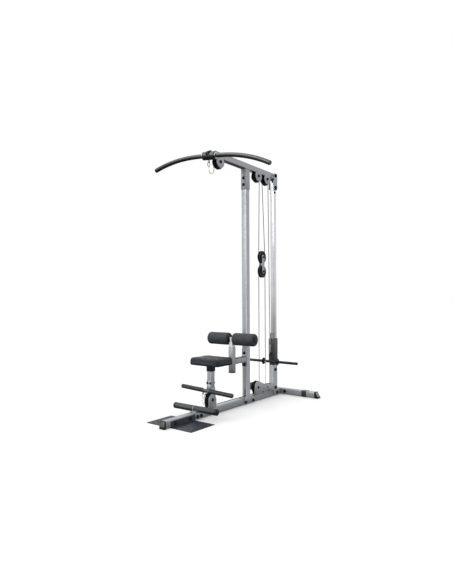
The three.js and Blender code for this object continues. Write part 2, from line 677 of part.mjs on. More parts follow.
function latBarGroup() {
  const { x, y, z, yaw, roll, half, shift, radius, gripRadius, gripStart } = LAT_BAR;
  const tube = named('lat_bar', sweep(latBarPoints(shift - half, shift + half, 22), circleShape(radius), 5), blackPaint);
  const gripShape = ringShape(radius + 2 * GAP, gripRadius);
  const grips = [['right', 1], ['left', -1]].map(([side, sign]) => (
    named(`lat_bar_grip_${side}`, sweep(latBarPoints(sign * gripStart, shift + sign * half, 10), gripShape, 5), rubber)
  ));
  const outer = LAT_HANGER.radius;
  const barrel = turned([
    [radius + GAP, -LAT_HANGER.half], [outer - 4, -LAT_HANGER.half], [outer, 4 - LAT_HANGER.half],
    [outer, LAT_HANGER.half - 4], [outer - 4, LAT_HANGER.half], [radius + GAP, LAT_HANGER.half],
    [radius + GAP, -LAT_HANGER.half],
  ]);
  const lug = new THREE.Shape();
  lug.absarc(0, -outer - LAT_HANGER.eyeDrop, 13, Math.PI, Math.PI * 2);
  lug.lineTo(14, -outer + 2);
  lug.lineTo(-14, -outer + 2);
  const eye = new THREE.Path();
  eye.absarc(0, -outer - LAT_HANGER.eyeDrop, 8, 0, Math.PI * 2);
  lug.holes.push(eye);
  const hanger = named('lat_bar_hanger', join(barrel, sidePlate(lug, -3, 3, 6)), rubber);
  const group = new THREE.Group();
  group.add(tube, ...grips, hanger);
  group.rotation.set(0, THREE.MathUtils.degToRad(roll), THREE.MathUtils.degToRad(yaw), 'ZYX');
  group.position.set(x, y, z);
  return group;
}

// Snap hook on the hanger's eye, and the short chain that hangs from it to the cable's end.
function latBarChain() {
  const cableY = LAT_PULLEY_Y - WRAP_RADIUS;
  const eyeY = LAT_BAR.y;
  const eyeReach = LAT_HANGER.radius + LAT_HANGER.eyeDrop;
  const eyeX = LAT_BAR.x - eyeReach * Math.sin(THREE.MathUtils.degToRad(LAT_BAR.roll));
  const ringTop = LAT_BAR.z - eyeReach - 1;
  const ringBottom = ringTop - 44;
  const ring = snapRing(0, ringBottom, ringTop, 24, 4.4).rotateZ(Math.PI / 2);
  ring.translate(eyeX, eyeY, 0);
  const bend = (cableY - eyeY) / 2;
  const low = LAT_CABLE_END_Z - 20;
  const chain = sweep([
    new THREE.Vector3(eyeX, eyeY, ringBottom + 3),
    ...arcPoints(eyeY + bend, low, bend, 180, 360, 8),
    new THREE.Vector3(0, cableY, LAT_CABLE_END_Z),
  ], circleShape(5));
  return named('lat_bar_chain', join(ring, chain), steel);
}

// ---- row bar --------------------------------------------------------------

function rowBar() {
  const { y, z, roll, half, radius, lugX, eyeY, eyeZ } = ROW_BAR;
  const rod = rodX(radius, -half, half, 0, 0).rotateY(THREE.MathUtils.degToRad(roll)).translate(0, y, z);
  const lug = new THREE.Shape();
  lug.moveTo(y + 4, z - radius + 2);
  lug.lineTo(y - 8, z - 4);
  lug.lineTo(eyeY - 9, eyeZ);
  lug.absarc(eyeY, eyeZ, 9, Math.PI, Math.PI * 1.75);
  const eye = new THREE.Path();
  eye.absarc(eyeY, eyeZ, 5.2, 0, Math.PI * 2);
  lug.holes.push(eye);
  const plate = sidePlate(lug, lugX - 2.5, lugX + 2.5, 6);
  return named('row_bar', join(rod, plate), steel);
}

function rowBarGrip(side, sign) {
  const { y, z, roll, half, radius, gripRadius, gripStart } = ROW_BAR;
  const mesh = named(`row_bar_grip_${side}`, ringX(radius + GAP, gripRadius, gripStart, half + 2), rubber);
  mesh.rotation.set(0, THREE.MathUtils.degToRad(roll), sign > 0 ? 0 : Math.PI);
  mesh.position.set(0, y, z);
  return mesh;
}

// The row bar's snap hook, its slack chain and the ball stop at the cable's end.
function rowBarChain() {
  const { lugX, eyeY, eyeZ } = ROW_BAR;
  const wire = 4;
  const ringTop = eyeZ;
  const ringBottom = ringTop - 40;
  const ring = snapRing(0, ringBottom, ringTop, 20, wire).rotateZ(Math.PI / 2).translate(lugX, eyeY, 0);
  const bend = 9;
  const low = 98;
  const chain = sweep([
    new THREE.Vector3(lugX, eyeY, ringBottom + 2),
    ...Array.from({ length: 7 }, (_, i) => {
      const angle = Math.PI * (1 + i / 6);
      return new THREE.Vector3(lugX + bend + bend * Math.cos(angle), eyeY - 6, low + bend * Math.sin(angle));
    }),
    new THREE.Vector3(-3, eyeY - 6, 140),
    new THREE.Vector3(0, BALL_Y, BALL_Z),
  ], circleShape(4));
  const ball = new THREE.SphereGeometry(BALL_RADIUS, 10, 6).rotateX(Math.PI / 2).translate(0, BALL_Y, BALL_Z);
  const stub = new THREE.CylinderGeometry(CABLE_RADIUS, CABLE_RADIUS, BALL_Z - LOW_PULLEY_Z - GAP, 8);
  stub.rotateX(Math.PI / 2).translate(0, BALL_Y, (BALL_Z + LOW_PULLEY_Z + GAP) / 2);
  return named('row_bar_chain', join(ring, chain, ball, stub), steel);
}

// Two open prongs on a plate on the seat post; the bar lifts out of them forwards and up.
function rowBarHook() {
  const { y, z, radius } = ROW_BAR;
  const faceY = SEAT_POST.y - SEAT_POST.size / 2 - GAP;
  const inner = radius + 1.2;
  const outer = inner + 6;
  const degrees = THREE.MathUtils.degToRad;
  const prong = new THREE.Shape();
  prong.moveTo(faceY - 1, z + 34);
  prong.lineTo(faceY - 1, z - 14);
  prong.absarc(y, z, outer, degrees(-40), degrees(-125), true);
  prong.absarc(y, z, inner, degrees(-125), 0, false);
  prong.lineTo(y + inner + 2, z + 20);
  const plate = box(-21.5, 21.5, faceY - PLATE, faceY, z - 10, z + 76);
  return named('row_bar_hook', join(
    plate,
    sidePlate(prong, -12, -7, 8),
    sidePlate(prong, 7, 12, 8),
  ), paint);
}

// ---- seat -----------------------------------------------------------------

// The round boss and bore that a pull pin slides in, on the rear face of an upright tube.
function pinBoss(face, y, z) {
  return new THREE.CylinderGeometry(8.5, 8.5, 6, 12).translate(0, y + face + 2, z);
}

function pinBore(face, y, z) {
  return new THREE.CylinderGeometry(PIN_RADIUS + 0.4, PIN_RADIUS + 0.4, 28, 12).translate(0, y + face + 6, z);
}

function pullPin(name, nose, face, y, z) {
  const knobStart = face + 5 + GAP;
  const profile = [
    [0, nose], [PIN_RADIUS, nose], [PIN_RADIUS, knobStart], [8, knobStart],
    [9.5, knobStart + 2], [9.5, knobStart + 9], [7, knobStart + 12], [0, knobStart + 12],
  ];
  const mesh = named(name, turned(profile, 12), plastic);
  mesh.rotation.z = Math.PI / 2;
  mesh.position.set(0, y, z);
  return mesh;
}

function seatPost() {
  const { size, y, bottom, top } = SEAT_POST;
  const tube = squareTube(size, size, top - bottom).translate(0, y, bottom);
  const boss = pinBoss(size / 2, y, SEAT_PIN_Z);
  return named('seat_post', cut(join(tube, boss), pinBore(size / 2, y, SEAT_PIN_Z)), paint);
}

function seatPostCollar() {
  const { size, y, top } = SEAT_POST;
  const outer = 53;
  const skirt = 10;
  const height = 43;
  const ring = new THREE.ExtrudeGeometry(roundedSquare(outer, outer, 6), {
    depth: height, bevelEnabled: false, curveSegments: 3,
  }).translate(0, y, top - skirt);
  const half = size / 2 + GAP;
  const socket = box(-half, half, y - half, y + half, top - skirt - 1, top + GAP);
  const innerHalf = SEAT_INNER.size / 2 + GAP;
  const bore = box(-innerHalf, innerHalf, y - innerHalf, y + innerHalf, top - 2, top + height);
  return named('seat_post_collar', cut(ring, socket, bore), plastic);
}

function seatStem() {
  const { size, bottom, top } = SEAT_INNER;
  const tube = squareTube(size, size, top - bottom + 1).translate(0, SEAT_POST.y, bottom);
  const plate = box(-80, 80, SEAT_POST.y - 75, SEAT_POST.y + 75, top, top + PLATE);
  return named('seat_stem', join(tube, plate), paint);
}

function seatPad() {
  const { halfWidth, frontY, rearY, bottom, top, corner } = SEAT_PAD;
  const edge = 12;
  const outline = roundedSquare(2 * (halfWidth - edge), rearY - frontY - 2 * edge, corner - edge);
  const geometry = new THREE.ExtrudeGeometry(outline, {
    depth: top - bottom - 2 * edge, bevelEnabled: true, bevelThickness: edge, bevelSize: edge,
    bevelSegments: 2, curveSegments: 4,
  });
  const mesh = named('seat_pad', geometry, vinyl);
  mesh.position.set(0, (frontY + rearY) / 2, bottom + edge);
  return mesh;
}

// ---- knee hold-down ---------------------------------------------------------

function kneeArm() {
  const { size, wall, y, bottom, top } = KNEE_HOLDER;
  const plateY = -HALF_TUBE - GAP;
  const plate = box(-HALF_TUBE, HALF_TUBE, plateY - PLATE, plateY, KNEE_PLATE.bottom, KNEE_PLATE.top);
  const armLength = plateY - PLATE - (y + size / 2) + 2;
  const section = roundedSquare(2 * KNEE_ARM.half, KNEE_ARM.top - KNEE_ARM.bottom, TUBE_CORNER);
  const arm = turnTo('y', new THREE.ExtrudeGeometry(section, {
    depth: armLength, bevelEnabled: false, curveSegments: 2,
  }));
  arm.translate(0, y + size / 2 - 1, (KNEE_ARM.top + KNEE_ARM.bottom) / 2);
  const holder = squareTube(size, size, top - bottom, wall).translate(0, y, bottom);
  const boss = pinBoss(size / 2, y, KNEE_PIN_Z);
  return named('knee_arm', cut(join(plate, arm, holder, boss), pinBore(size / 2, y, KNEE_PIN_Z)), paint);
}

// The sliding post and the axle through its top that carries the two rollers.
function kneePost() {
  const { size, bottom, top } = KNEE_POST;
  const { z, radius, half } = KNEE_AXLE;
  const y = KNEE_HOLDER.y;
  const tube = squareTube(size, size, top - bottom).translate(0, y, bottom);
  const lid = box(-size / 2 + 1, size / 2 - 1, y - size / 2 + 1, y + size / 2 - 1, top - 4, top);
  const washer = KNEE_ROLLER.outer + GAP;
  return named('knee_post', join(
    tube,
    lid,
    rodX(radius, -half, half, y, z),
    rodX(22, -half, -washer, y, z),
    rodX(22, washer, half, y, z),
  ), chrome);
}

function kneeRoller(side, sign) {
  const { radius, inner, outer, edge } = KNEE_ROLLER;
  const bore = KNEE_AXLE.radius + 0.4;
  const slope = edge * 0.3;
  const profile = [
    [bore, inner], [radius - edge, inner], [radius - slope, inner + slope], [radius, inner + edge],
    [radius, outer - edge], [radius - slope, outer - slope], [radius - edge, outer], [bore, outer],
    [bore, inner],
  ];
  const mesh = named(`knee_roller_${side}`, turned(profile), foam);
  mesh.rotation.z = sign > 0 ? 0 : Math.PI;
  mesh.position.set(0, KNEE_HOLDER.y, KNEE_AXLE.z);
  return mesh;
}

// ---- foot brace -------------------------------------------------------------

function footBrace() {
  const { y, z, radius, half } = BRACE;
  const bar = turned([
    [0, -half], [radius - 4, -half], [radius, 5 - half], [radius, half - 5], [radius - 4, half], [0, half],
  ]).translate(0, y, z);
  return named('foot_brace', join(baseSaddle(y - 32, y + 48), bar), rubber);
}

// ---- machine ----------------------------------------------------------------

const machine = new THREE.Group();
machine.add(
  baseTube(),
  rearCrossTube(),
  ...footCaps(),
  frontFootPlate(),
  frontMast(),
  topBoom(),
  boomEndCap(),
  barClip(),
  rearPost(),
  guideUpright(),
  uprightTopBracket(),
  carriageSleeve(),
  carriageLiner(),
  weightHorn('right', 1),
  weightHorn('left', -1),
  carriageBumper(),
  carriageSnapHook(),
  ...pulleys(),
  pulleyBlock(),
  lowFrontBracket(),
  lowRearBracket(),
  anchorChain(),
  ...cables(),
  latBarGroup(),
  latBarChain(),
  rowBar(),
  rowBarGrip('right', 1),
  rowBarGrip('left', -1),
  rowBarChain(),
  rowBarHook(),
  seatPost(),
  seatPostCollar(),
  seatStem(),
  pullPin('seat_pin', SEAT_POST.size / 2 - 2.2, SEAT_POST.size / 2, SEAT_POST.y, SEAT_PIN_Z),
  seatPad(),
  kneeArm(),
  kneePost(),
  kneeRoller('right', 1),
  kneeRoller('left', -1),
  pullPin('knee_pin', KNEE_HOLDER.size / 2 - 2.9, KNEE_HOLDER.size / 2, KNEE_HOLDER.y, KNEE_PIN_Z),
  footBrace(),
);
machine.position.y = -CENTRE_Y;

export default machine;
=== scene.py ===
"""Looks of a plate-loaded lat pulldown and low-row machine, in metres, in the frame of its CAD.

+Z is up, +X is to the right of a user seated facing the mast, and +Y runs from the foot plate to the
weight carriage.
"""
import math

import bmesh
import bpy
from mathutils import Matrix, Vector, noise
from mathutils.bvhtree import BVHTree


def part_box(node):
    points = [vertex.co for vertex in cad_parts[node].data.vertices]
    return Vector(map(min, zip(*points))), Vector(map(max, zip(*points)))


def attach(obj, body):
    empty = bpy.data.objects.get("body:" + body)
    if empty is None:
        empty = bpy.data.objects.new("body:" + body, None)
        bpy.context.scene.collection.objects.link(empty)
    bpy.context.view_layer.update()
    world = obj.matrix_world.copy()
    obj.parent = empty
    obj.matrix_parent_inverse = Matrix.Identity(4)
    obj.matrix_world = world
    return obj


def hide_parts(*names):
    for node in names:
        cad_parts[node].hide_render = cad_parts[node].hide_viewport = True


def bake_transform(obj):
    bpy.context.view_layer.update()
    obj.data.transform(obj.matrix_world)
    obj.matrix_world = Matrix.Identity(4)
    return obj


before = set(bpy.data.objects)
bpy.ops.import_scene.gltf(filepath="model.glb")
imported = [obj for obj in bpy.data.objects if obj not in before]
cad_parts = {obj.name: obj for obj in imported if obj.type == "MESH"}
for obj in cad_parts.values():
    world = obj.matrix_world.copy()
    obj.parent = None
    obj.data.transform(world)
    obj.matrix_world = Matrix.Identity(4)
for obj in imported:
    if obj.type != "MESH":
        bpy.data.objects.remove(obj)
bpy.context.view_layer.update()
SCENE = bpy.context.scene


def middle(node):
    low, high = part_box(node)
    return (low + high) / 2


# ---- sizes shared with the CAD ---------------------------------------------

MAST = middle("front_mast").copy()
MAST.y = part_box("front_mast")[0].y + 0.066
TUBE = 0.0508  # the frame's square stock
WRAP = 0.051  # from a pulley's axis to the middle of the cable on it
CABLE = 0.003  # the cable's radius
PULLEYS = (
    "lat_pulley", "top_pulley_front", "top_pulley_rear", "block_pulley_upper", "block_pulley_lower",
    "low_pulley_front", "low_pulley_rear",
)
CAPS = ("front_foot_cap", "rear_foot_cap_right", "rear_foot_cap_left")
SIDES = (("right", 1), ("left", -1))
LAT_BAR = dict(
    x=-0.006, y=MAST.y - 0.485, z=2.030, yaw=10, roll=4.2, shift=0.009,
    half=0.519, drop=0.0915, bend=2.3, flat=0.060, radius=0.0125, grip=0.018, grip_start=0.062,
)
HANGER = dict(radius=0.033, half=0.057, eye_drop=0.010)
LAT_CABLE_END = 1.940
ROW_BAR = dict(
    y=MAST.y - 0.535, z=0.193, roll=2.5, half=0.250, radius=0.0125, grip=0.017, grip_start=0.036,
    lug_x=-0.022, eye_y=MAST.y - 0.549, eye_z=0.174,
)
BALL = Vector((0, middle("low_pulley_front").y - WRAP, 0.164))
CARRIAGE_EYE = Vector((0, MAST.y + 0.384, 0.388))
CARRIAGE_CABLE_END = 0.536
ANCHOR = Vector((0, middle("pulley_block").y + WRAP, 0.100))
ANCHOR_TOP = 0.330


# ---- looks -----------------------------------------------------------------

class Tree:
    """A node tree, and short ways to add to it."""

    def __init__(self, tree):
        self.nodes, self.links = tree.nodes, tree.links

    def node(self, kind, inputs=None, **settings):
        made = self.nodes.new("ShaderNode" + kind)
        for key, value in settings.items():
            setattr(made, key, value)
        for key, value in (inputs or {}).items():
            self.feed(made.inputs[key], value)
        return made

    def feed(self, socket, value):
        if isinstance(value, bpy.types.NodeSocket):
            self.links.new(value, socket)
        else:
            socket.default_value = value

    def spread(self, value, low, high, source=(0.3, 0.7)):
        inputs = {
            "Value": value, "From Min": source[0], "From Max": source[1], "To Min": low, "To Max": high,
        }
        return self.node("MapRange", inputs).outputs[0]

    def math(self, operation, first, second):
        return self.node("Math", {0: first, 1: second}, operation=operation).outputs[0]

    def dot(self, first, second):
        return self.node("VectorMath", {0: first, 1: second}, operation="DOT_PRODUCT").outputs["Value"]


class Look(Tree):
    """A principled material and the nodes that vary it."""

    def __init__(self, name, **constants):
        self.material = bpy.data.materials.new(name)
        self.material.use_nodes = True
        super().__init__(self.material.node_tree)
        self.shader = self.nodes["Principled BSDF"]
        self.place = self.node("TexCoord").outputs["Object"]
        for key, value in constants.items():
            self.shader.inputs[key.replace("_", " ").title().replace("Ior", "IOR")].default_value = value

    def noise(self, scale, detail=3, stretch=(1, 1, 1)):
        place = self.node("Mapping", {"Vector": self.place, "Scale": stretch}).outputs[0]
        inputs = {"Vector": place, "Scale": scale, "Detail": detail, "Roughness": 0.6}
        return self.node("TexNoise", inputs).outputs[0]

    def cells(self, scale, feature="F1"):
        inputs = {"Vector": self.place, "Scale": scale}
        return self.node("TexVoronoi", inputs, feature=feature).outputs["Distance"]

    def blend(self, share, first, second):
        mix = self.node("Mix", data_type="RGBA")
        self.feed(mix.inputs["Factor"], share)
        self.feed(mix.inputs[6], first)
        self.feed(mix.inputs[7], second)
        return mix.outputs[2]

    def shades(self, scale, detail, dark, light):
        """Two colours, mottled by noise."""
        return self.blend(self.spread(self.noise(scale, detail), 0, 1), dark, light)

    def worn_edges(self, radius):
        """1 on the sharp outer edges and 0 on flat faces, broken up by noise."""
        rounded = self.node("Bevel", {"Radius": radius}, samples=4).outputs[0]
        flat = self.node("NewGeometry").outputs["Normal"]
        edge = self.spread(self.dot(rounded, flat), 1, 0, (0.80, 0.99))
        return self.math("MULTIPLY", edge, self.spread(self.noise(60), 0, 1, (0.42, 0.62)))

    def colour(self, value, bare=None, radius=0.0012):
        """The colour, with another where the edges are worn."""
        if bare:
            value = self.blend(self.worn_edges(radius), value, bare)
        self.feed(self.shader.inputs["Base Color"], value)

    def roughness(self, texture, low, high):
        self.feed(self.shader.inputs["Roughness"], self.spread(texture, low, high))

    def bumps(self, *layers):
        """Each layer is (height, depth in metres). Gives the finished material."""
        normal = None
        for height, depth in layers:
            inputs = {"Height": height, "Distance": depth, "Strength": 1.0}
            if normal:
                inputs["Normal"] = normal
            normal = self.node("Bump", inputs).outputs[0]
        self.feed(self.shader.inputs["Normal"], normal)
        return self.material


def grey(level, blue=1.0):
    return (level, level * (1 + 0.35 * (blue - 1)), level * blue, 1)


def frame_paint():
    return silver_paint("frame_paint", 0.37)


def shaded_frame_paint():
    """The same hammered silver one shade darker, on the base and the boom: a shaded copy of the frame paint,
    painted shade.
    """
    return silver_paint("shaded_frame_paint", 0.33)


def silver_paint(name, tone):
    look = Look(name, metallic=0.6, coat_weight=0.2, coat_roughness=0.2)
    paint = look.shades(70, 5, grey(tone * 0.88, 1.13), grey(tone * 1.12, 1.11))
    hammered = look.blend(look.spread(look.cells(340), 0, 1, (0.1, 0.75)), paint, grey(tone * 1.28, 1.09))
    look.colour(hammered, grey(tone * 1.6, 1.05), 0.0014)
    look.roughness(look.noise(24), 0.30, 0.42)
    return look.bumps((look.cells(300), 0.00022), (look.noise(900, 2), 0.00005))


def black_paint():
    look = Look("black_paint", specular_ior_level=0.35)
    look.colour(look.shades(40, 4, grey(0.015, 1.9), grey(0.030, 1.85)), grey(0.10, 1.2), 0.0009)
    look.roughness(look.noise(30), 0.36, 0.5)
    return look.bumps((look.noise(1100, 2), 0.00012))


def black_steel():
    """Blackened bolts, nuts and hooks."""
    look = Look("black_steel", specular_ior_level=0.3)
    look.colour(look.shades(90, 4, grey(0.003, 1.2), grey(0.009, 1.2)))
    look.roughness(look.noise(160), 0.42, 0.6)
    return look.bumps((look.noise(1300, 2), 0.00008))


def carriage_paint():
    """Dark grey gloss with a faint vertical grain from the sliding."""
    look = Look("carriage_paint", metallic=0.2, coat_weight=0.4, coat_roughness=0.15)
    streaks = look.noise(120, 3, (1, 1, 0.06))
    look.colour(look.shades(35, 4, grey(0.035, 1.12), grey(0.062, 1.12)), grey(0.20, 1.05))
    look.roughness(streaks, 0.28, 0.42)
    return look.bumps((streaks, 0.00003), (look.noise(900, 2), 0.00005))


def chrome():
    look = Look("chrome", metallic=1.0)
    streaks = look.noise(160, 2, (1, 1, 0.04))
    look.colour(look.shades(9, 4, grey(0.72, 1.05), grey(0.82, 1.04)))
    look.roughness(streaks, 0.14, 0.26)
    return look.bumps((streaks, 0.00002))


def zinc_steel():
    look = Look("zinc_steel", metallic=1.0)
    look.colour(look.shades(120, 4, grey(0.50, 1.04), grey(0.68, 1.03)))
    look.roughness(look.noise(260), 0.18, 0.34)
    return look.bumps((look.noise(700, 2), 0.00006))


def row_steel():
    """The low bar's bare centre: dull steel, darker than the plated parts."""
    look = Look("row_steel", metallic=0.9)
    streaks = look.noise(240, 3, (0.05, 1, 1))
    look.colour(look.shades(60, 4, grey(0.13, 1.04), grey(0.20, 1.03)))
    look.roughness(streaks, 0.30, 0.46)
    return look.bumps((streaks, 0.00004))


def gunmetal():
    look = Look("gunmetal", metallic=0.8)
    streaks = look.noise(300, 3, (0.05, 1, 1))
    look.colour(look.shades(30, 4, grey(0.030, 1.15), grey(0.060, 1.12)), grey(0.22))
    look.roughness(streaks, 0.26, 0.42)
    return look.bumps((streaks, 0.00005))


def black_plastic():
    look = Look("black_plastic", specular_ior_level=0.35)
    look.colour(look.shades(50, 3, grey(0.006, 1.15), grey(0.012, 1.15)), grey(0.03), 0.0008)
    look.roughness(look.noise(60), 0.38, 0.55)
    return look.bumps((look.noise(1600, 2), 0.0001))


def grey_nylon():
    return nylon("grey_nylon", 0.29)


def dark_nylon():
    return nylon("dark_nylon", 0.09)


def nylon(name, tone):
    look = Look(name, subsurface_weight=0.05)
    look.colour(look.shades(60, 4, grey(tone * 0.84, 1.03), grey(tone * 1.16, 1.03)))
    look.roughness(look.noise(80), 0.42, 0.58)
    return look.bumps((look.noise(500, 3, (1, 1, 0.1)), 0.00012))


def black_rubber():
    return rubber("black_rubber", 0.7)


def grip_rubber():
    """The low bar's grips, handled to a duller surface."""
    return rubber("grip_rubber", 0.2)


def rubber(name, coat):
    look = Look(name, specular_ior_level=0.55, coat_weight=coat, coat_roughness=0.2)
    look.colour(look.shades(35, 5, grey(0.014, 1.25), grey(0.026, 1.22)))
    look.roughness(look.noise(45, 4), 0.28, 0.42)
    return look.bumps((look.cells(900), 0.00010), (look.noise(300), 0.00012))


def roller_foam():
    look = Look("roller_foam", sheen_weight=0.05, sheen_roughness=0.6, specular_ior_level=0.35)
    look.colour(look.shades(25, 6, grey(0.028, 1.25), grey(0.050, 1.22)))
    look.roughness(look.noise(120), 0.55, 0.75)
    return look.bumps((look.cells(750), 0.0003), (look.noise(60, 4), 0.0005))


def seat_vinyl():
    look = Look("seat_vinyl", specular_ior_level=0.3)
    creases = look.spread(look.cells(560, "DISTANCE_TO_EDGE"), 0, 1, (0.0, 0.12))
    vinyl = look.shades(14, 5, grey(0.015, 1.7), grey(0.024, 1.65))
    look.colour(look.blend(creases, grey(0.020, 1.25), vinyl))
    look.roughness(look.noise(30, 4), 0.38, 0.54)
    return look.bumps((creases, 0.00018), (look.noise(18), 0.0008))


def stitch_thread():
    look = Look("stitch_thread", sheen_weight=0.3)
    look.colour(look.shades(900, 3, grey(0.06, 1.15), grey(0.11, 1.15)))
    look.roughness(look.noise(600), 0.6, 0.8)
    return look.bumps((look.noise(2500, 2), 0.0001))


def cable_coat():
    """Wire strands showing through a smoked jacket: stripes that wind round the cable."""
    look = Look("cable_coat", specular_ior_level=0.25)
    uv = look.node("TexCoord").outputs["UV"]
    twist = look.node("Mapping", {"Vector": uv, "Rotation": (0, 0, 0.6), "Scale": (90, 3, 1)}).outputs[0]
    strands = look.node("TexWave", {"Vector": twist, "Scale": 1.0, "Distortion": 0.4}).outputs[1]
    look.colour(look.blend(strands, grey(0.006, 1.05), grey(0.020, 1.05)))
    look.roughness(look.noise(80), 0.32, 0.45)
    return look.bumps((strands, 0.0002))


def pale_floor():
    look = Look("pale_floor", emission_color=(1, 1, 1, 1), emission_strength=0.13)
    look.colour(look.shades(3, 3, grey(0.86), grey(0.90)))
    look.roughness(look.noise(5), 0.75, 0.9)
    return look.material


LOOKS = {
    make.__name__: make()
    for make in (
        frame_paint, shaded_frame_paint, black_paint, black_steel, carriage_paint, chrome, zinc_steel, row_steel,
        gunmetal, black_plastic, grey_nylon, dark_nylon, black_rubber, grip_rubber, roller_foam, seat_vinyl,
        stitch_thread, cable_coat, pale_floor,
    )
}


# ---- shapes ----------------------------------------------------------------

def upright_frame(axis):
    """A rotation that takes Z to axis."""
    return Vector(axis).to_track_quat("Z", "Y").to_matrix().to_4x4()


def turns(count):
    """The angles of count even steps round a circle."""
    return [math.tau * i / count for i in range(count)]


def angles(start, end, steps):
    """steps + 1 even angles from start to end, which are in degrees."""
    return [math.radians(start + (end - start) * i / steps) for i in range(steps + 1)]


def ring_yz(centre, radius, count):
    """A circle round centre, in the YZ plane."""
    return [Vector(centre) + Vector((0, radius * math.cos(a), radius * math.sin(a))) for a in turns(count)]


class Shape:
    """A mesh built up from turned, swept, boxed and plate-like solids."""

    def __init__(self):
        self.bm = bmesh.new()
        self.uv = self.bm.loops.layers.uv.new("UVMap")

    def rings(self, rings, closed=False):
        """Skins successive rings of points; U is the distance along them in metres."""
        rows = [[self.bm.verts.new(point) for point in ring] for ring in rings]
        centres = [sum(map(Vector, ring), Vector()) / len(ring) for ring in rings]
        along = [0.0]
        for before, after in zip(centres, centres[1:]):
            along.append(along[-1] + (after - before).length)
        pairs = list(zip(range(len(rows) - 1), range(1, len(rows))))
        if closed:
            pairs.append((len(rows) - 1, 0))
        count = len(rows[0])
        for a, b in pairs:
            for i in range(count):
                j = (i + 1) % count
                face = self.bm.faces.new((rows[a][i], rows[a][j], rows[b][j], rows[b][i]))
                places = ((a, i), (a, i + 1), (b, i + 1), (b, i))
                for loop, (row, step) in zip(face.loops, places):
                    loop[self.uv].uv = (along[row], step / count)
        if not closed:
            self.bm.faces.new(rows[0][::-1])
            self.bm.faces.new(rows[-1])
        return self

    def turn(self, profile, centre, axis=(1, 0, 0), segments=48):
        """A solid of revolution from (radius, height along axis) points; a ring if the profile closes."""
        place = Matrix.Translation(centre) @ upright_frame(axis)
        closed = profile[0] == profile[-1]
        points = profile[:-1] if closed else profile
        rings = []
        for radius, height in points:
            radius = max(radius, 1e-5)
            rings.append([
                place @ Vector((radius * math.cos(t), radius * math.sin(t), height)) for t in turns(segments)
            ])
        return self.rings(rings, closed)

    def sweep(self, points, radius, sides=16, closed=False):
        """A round wire along points; radius is one number, or one for each point."""
        points = [Vector(p) for p in points]
        radii = radius if hasattr(radius, "__len__") else [radius] * len(points)
        last = len(points) - 1
        tangents = []
        for i in range(len(points)):
            before = points[i - 1] if i or closed else points[0]
            after = points[(i + 1) % len(points)] if i < last or closed else points[last]
            tangents.append((after - before).normalized())
        side = tangents[0].orthogonal().normalized()
        rings = []
        for i, (point, tangent, r) in enumerate(zip(points, tangents, radii)):
            if i:
                side = tangents[i - 1].rotation_difference(tangent) @ side
            across = tangent.cross(side)
            rings.append([point + r * (math.cos(t) * side + math.sin(t) * across) for t in turns(sides)])
        return self.rings(rings, closed)

    def block(self, low, high, bevel):
        made = bmesh.ops.create_cube(self.bm, size=1)["verts"]
        low, high = Vector(low), Vector(high)
        scale = Matrix.Diagonal((*(high - low), 1))
        bmesh.ops.transform(self.bm, matrix=Matrix.Translation((low + high) / 2) @ scale, verts=made)
        edges = list({edge for vert in made for edge in vert.link_edges})
        bmesh.ops.bevel(self.bm, geom=edges, offset=bevel, segments=2, affect="EDGES", profile=0.5)
        return self

    def plate(self, outline, place, thickness, bevel=0.0008):
        """An outline of (u, v) points in place's XY plane, extruded along its Z."""
        bottom = [self.bm.verts.new(place @ Vector((u, v, 0))) for u, v in outline]
        top = [self.bm.verts.new(place @ Vector((u, v, thickness))) for u, v in outline]
        made = [self.bm.faces.new(bottom[::-1]), self.bm.faces.new(top)]
        count = len(outline)
        for i in range(count):
            j = (i + 1) % count
            made.append(self.bm.faces.new((bottom[i], bottom[j], top[j], top[i])))
        edges = list({edge for face in made[:2] for edge in face.edges})
        bmesh.ops.bevel(self.bm, geom=edges, offset=bevel, segments=2, affect="EDGES", profile=0.5)
        return self

    def washer(self, face, axis, r):
        """A washer whose underside is at face; gives the middle of its top."""
        rim = [(0, 0), (r * 1.15, 0), (r * 1.15, r * 0.16), (r * 1.05, r * 0.22), (0, r * 0.22)]
        self.turn(rim, face, axis, 32)
        return Vector(face) + Vector(axis) * r * 0.22

    def bolt(self, face, axis, r=0.0118):
        """A black-capped hex head on a washer."""
        base = self.washer(face, axis, r)
        self.turn([(0, 0), (r, 0), (r, r * 0.42), (r * 0.84, r * 0.58), (0, r * 0.58)], base, axis, 6)

    def through(self, head, end, head_radius=0.0118, nut_radius=0.0112):
        """A bolt from head to end, with a nylon-insert nut there and the bolt's end standing out of it."""
        axis = (Vector(head) - Vector(end)).normalized()
        self.bolt(head, axis, head_radius)
        r, axis = nut_radius, -axis
        base = self.washer(end, axis, r)
        nut = [(0, 0), (r * 0.93, 0), (r * 0.93, r * 0.5), (r * 0.8, r * 0.62), (0, r * 0.62)]
        self.turn(nut, base, axis, 6)
        stub = [(0, 0), (0.78, 0), (0.7, 0.82), (0.5, 0.86), (0.45, 1.0), (0, 1.02)]
        self.turn([(r * u, r * v) for u, v in stub], base, axis, 24)

    def piece(self, name, look, body, *nodes, angle=32):
        """Makes the shape an object that rides on body and stands for the CAD nodes."""
        bmesh.ops.recalc_face_normals(self.bm, faces=self.bm.faces)
        mesh = bpy.data.meshes.new(name)
        self.bm.to_mesh(mesh)
        self.bm.free()
        return place_piece(mesh, name, look, body, nodes, angle)


def place_piece(mesh, name, look, body, nodes=(), angle=32):
    for polygon in mesh.polygons:
        polygon.use_smooth = True
    mesh.set_sharp_from_angle(angle=math.radians(angle))
    mesh.materials.clear()
    mesh.materials.append(LOOKS[look])
    piece = bpy.data.objects.new(name, mesh)
    SCENE.collection.objects.link(piece)
    if body:
        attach(piece, body)
    if nodes:
        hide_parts(*nodes)
    return piece


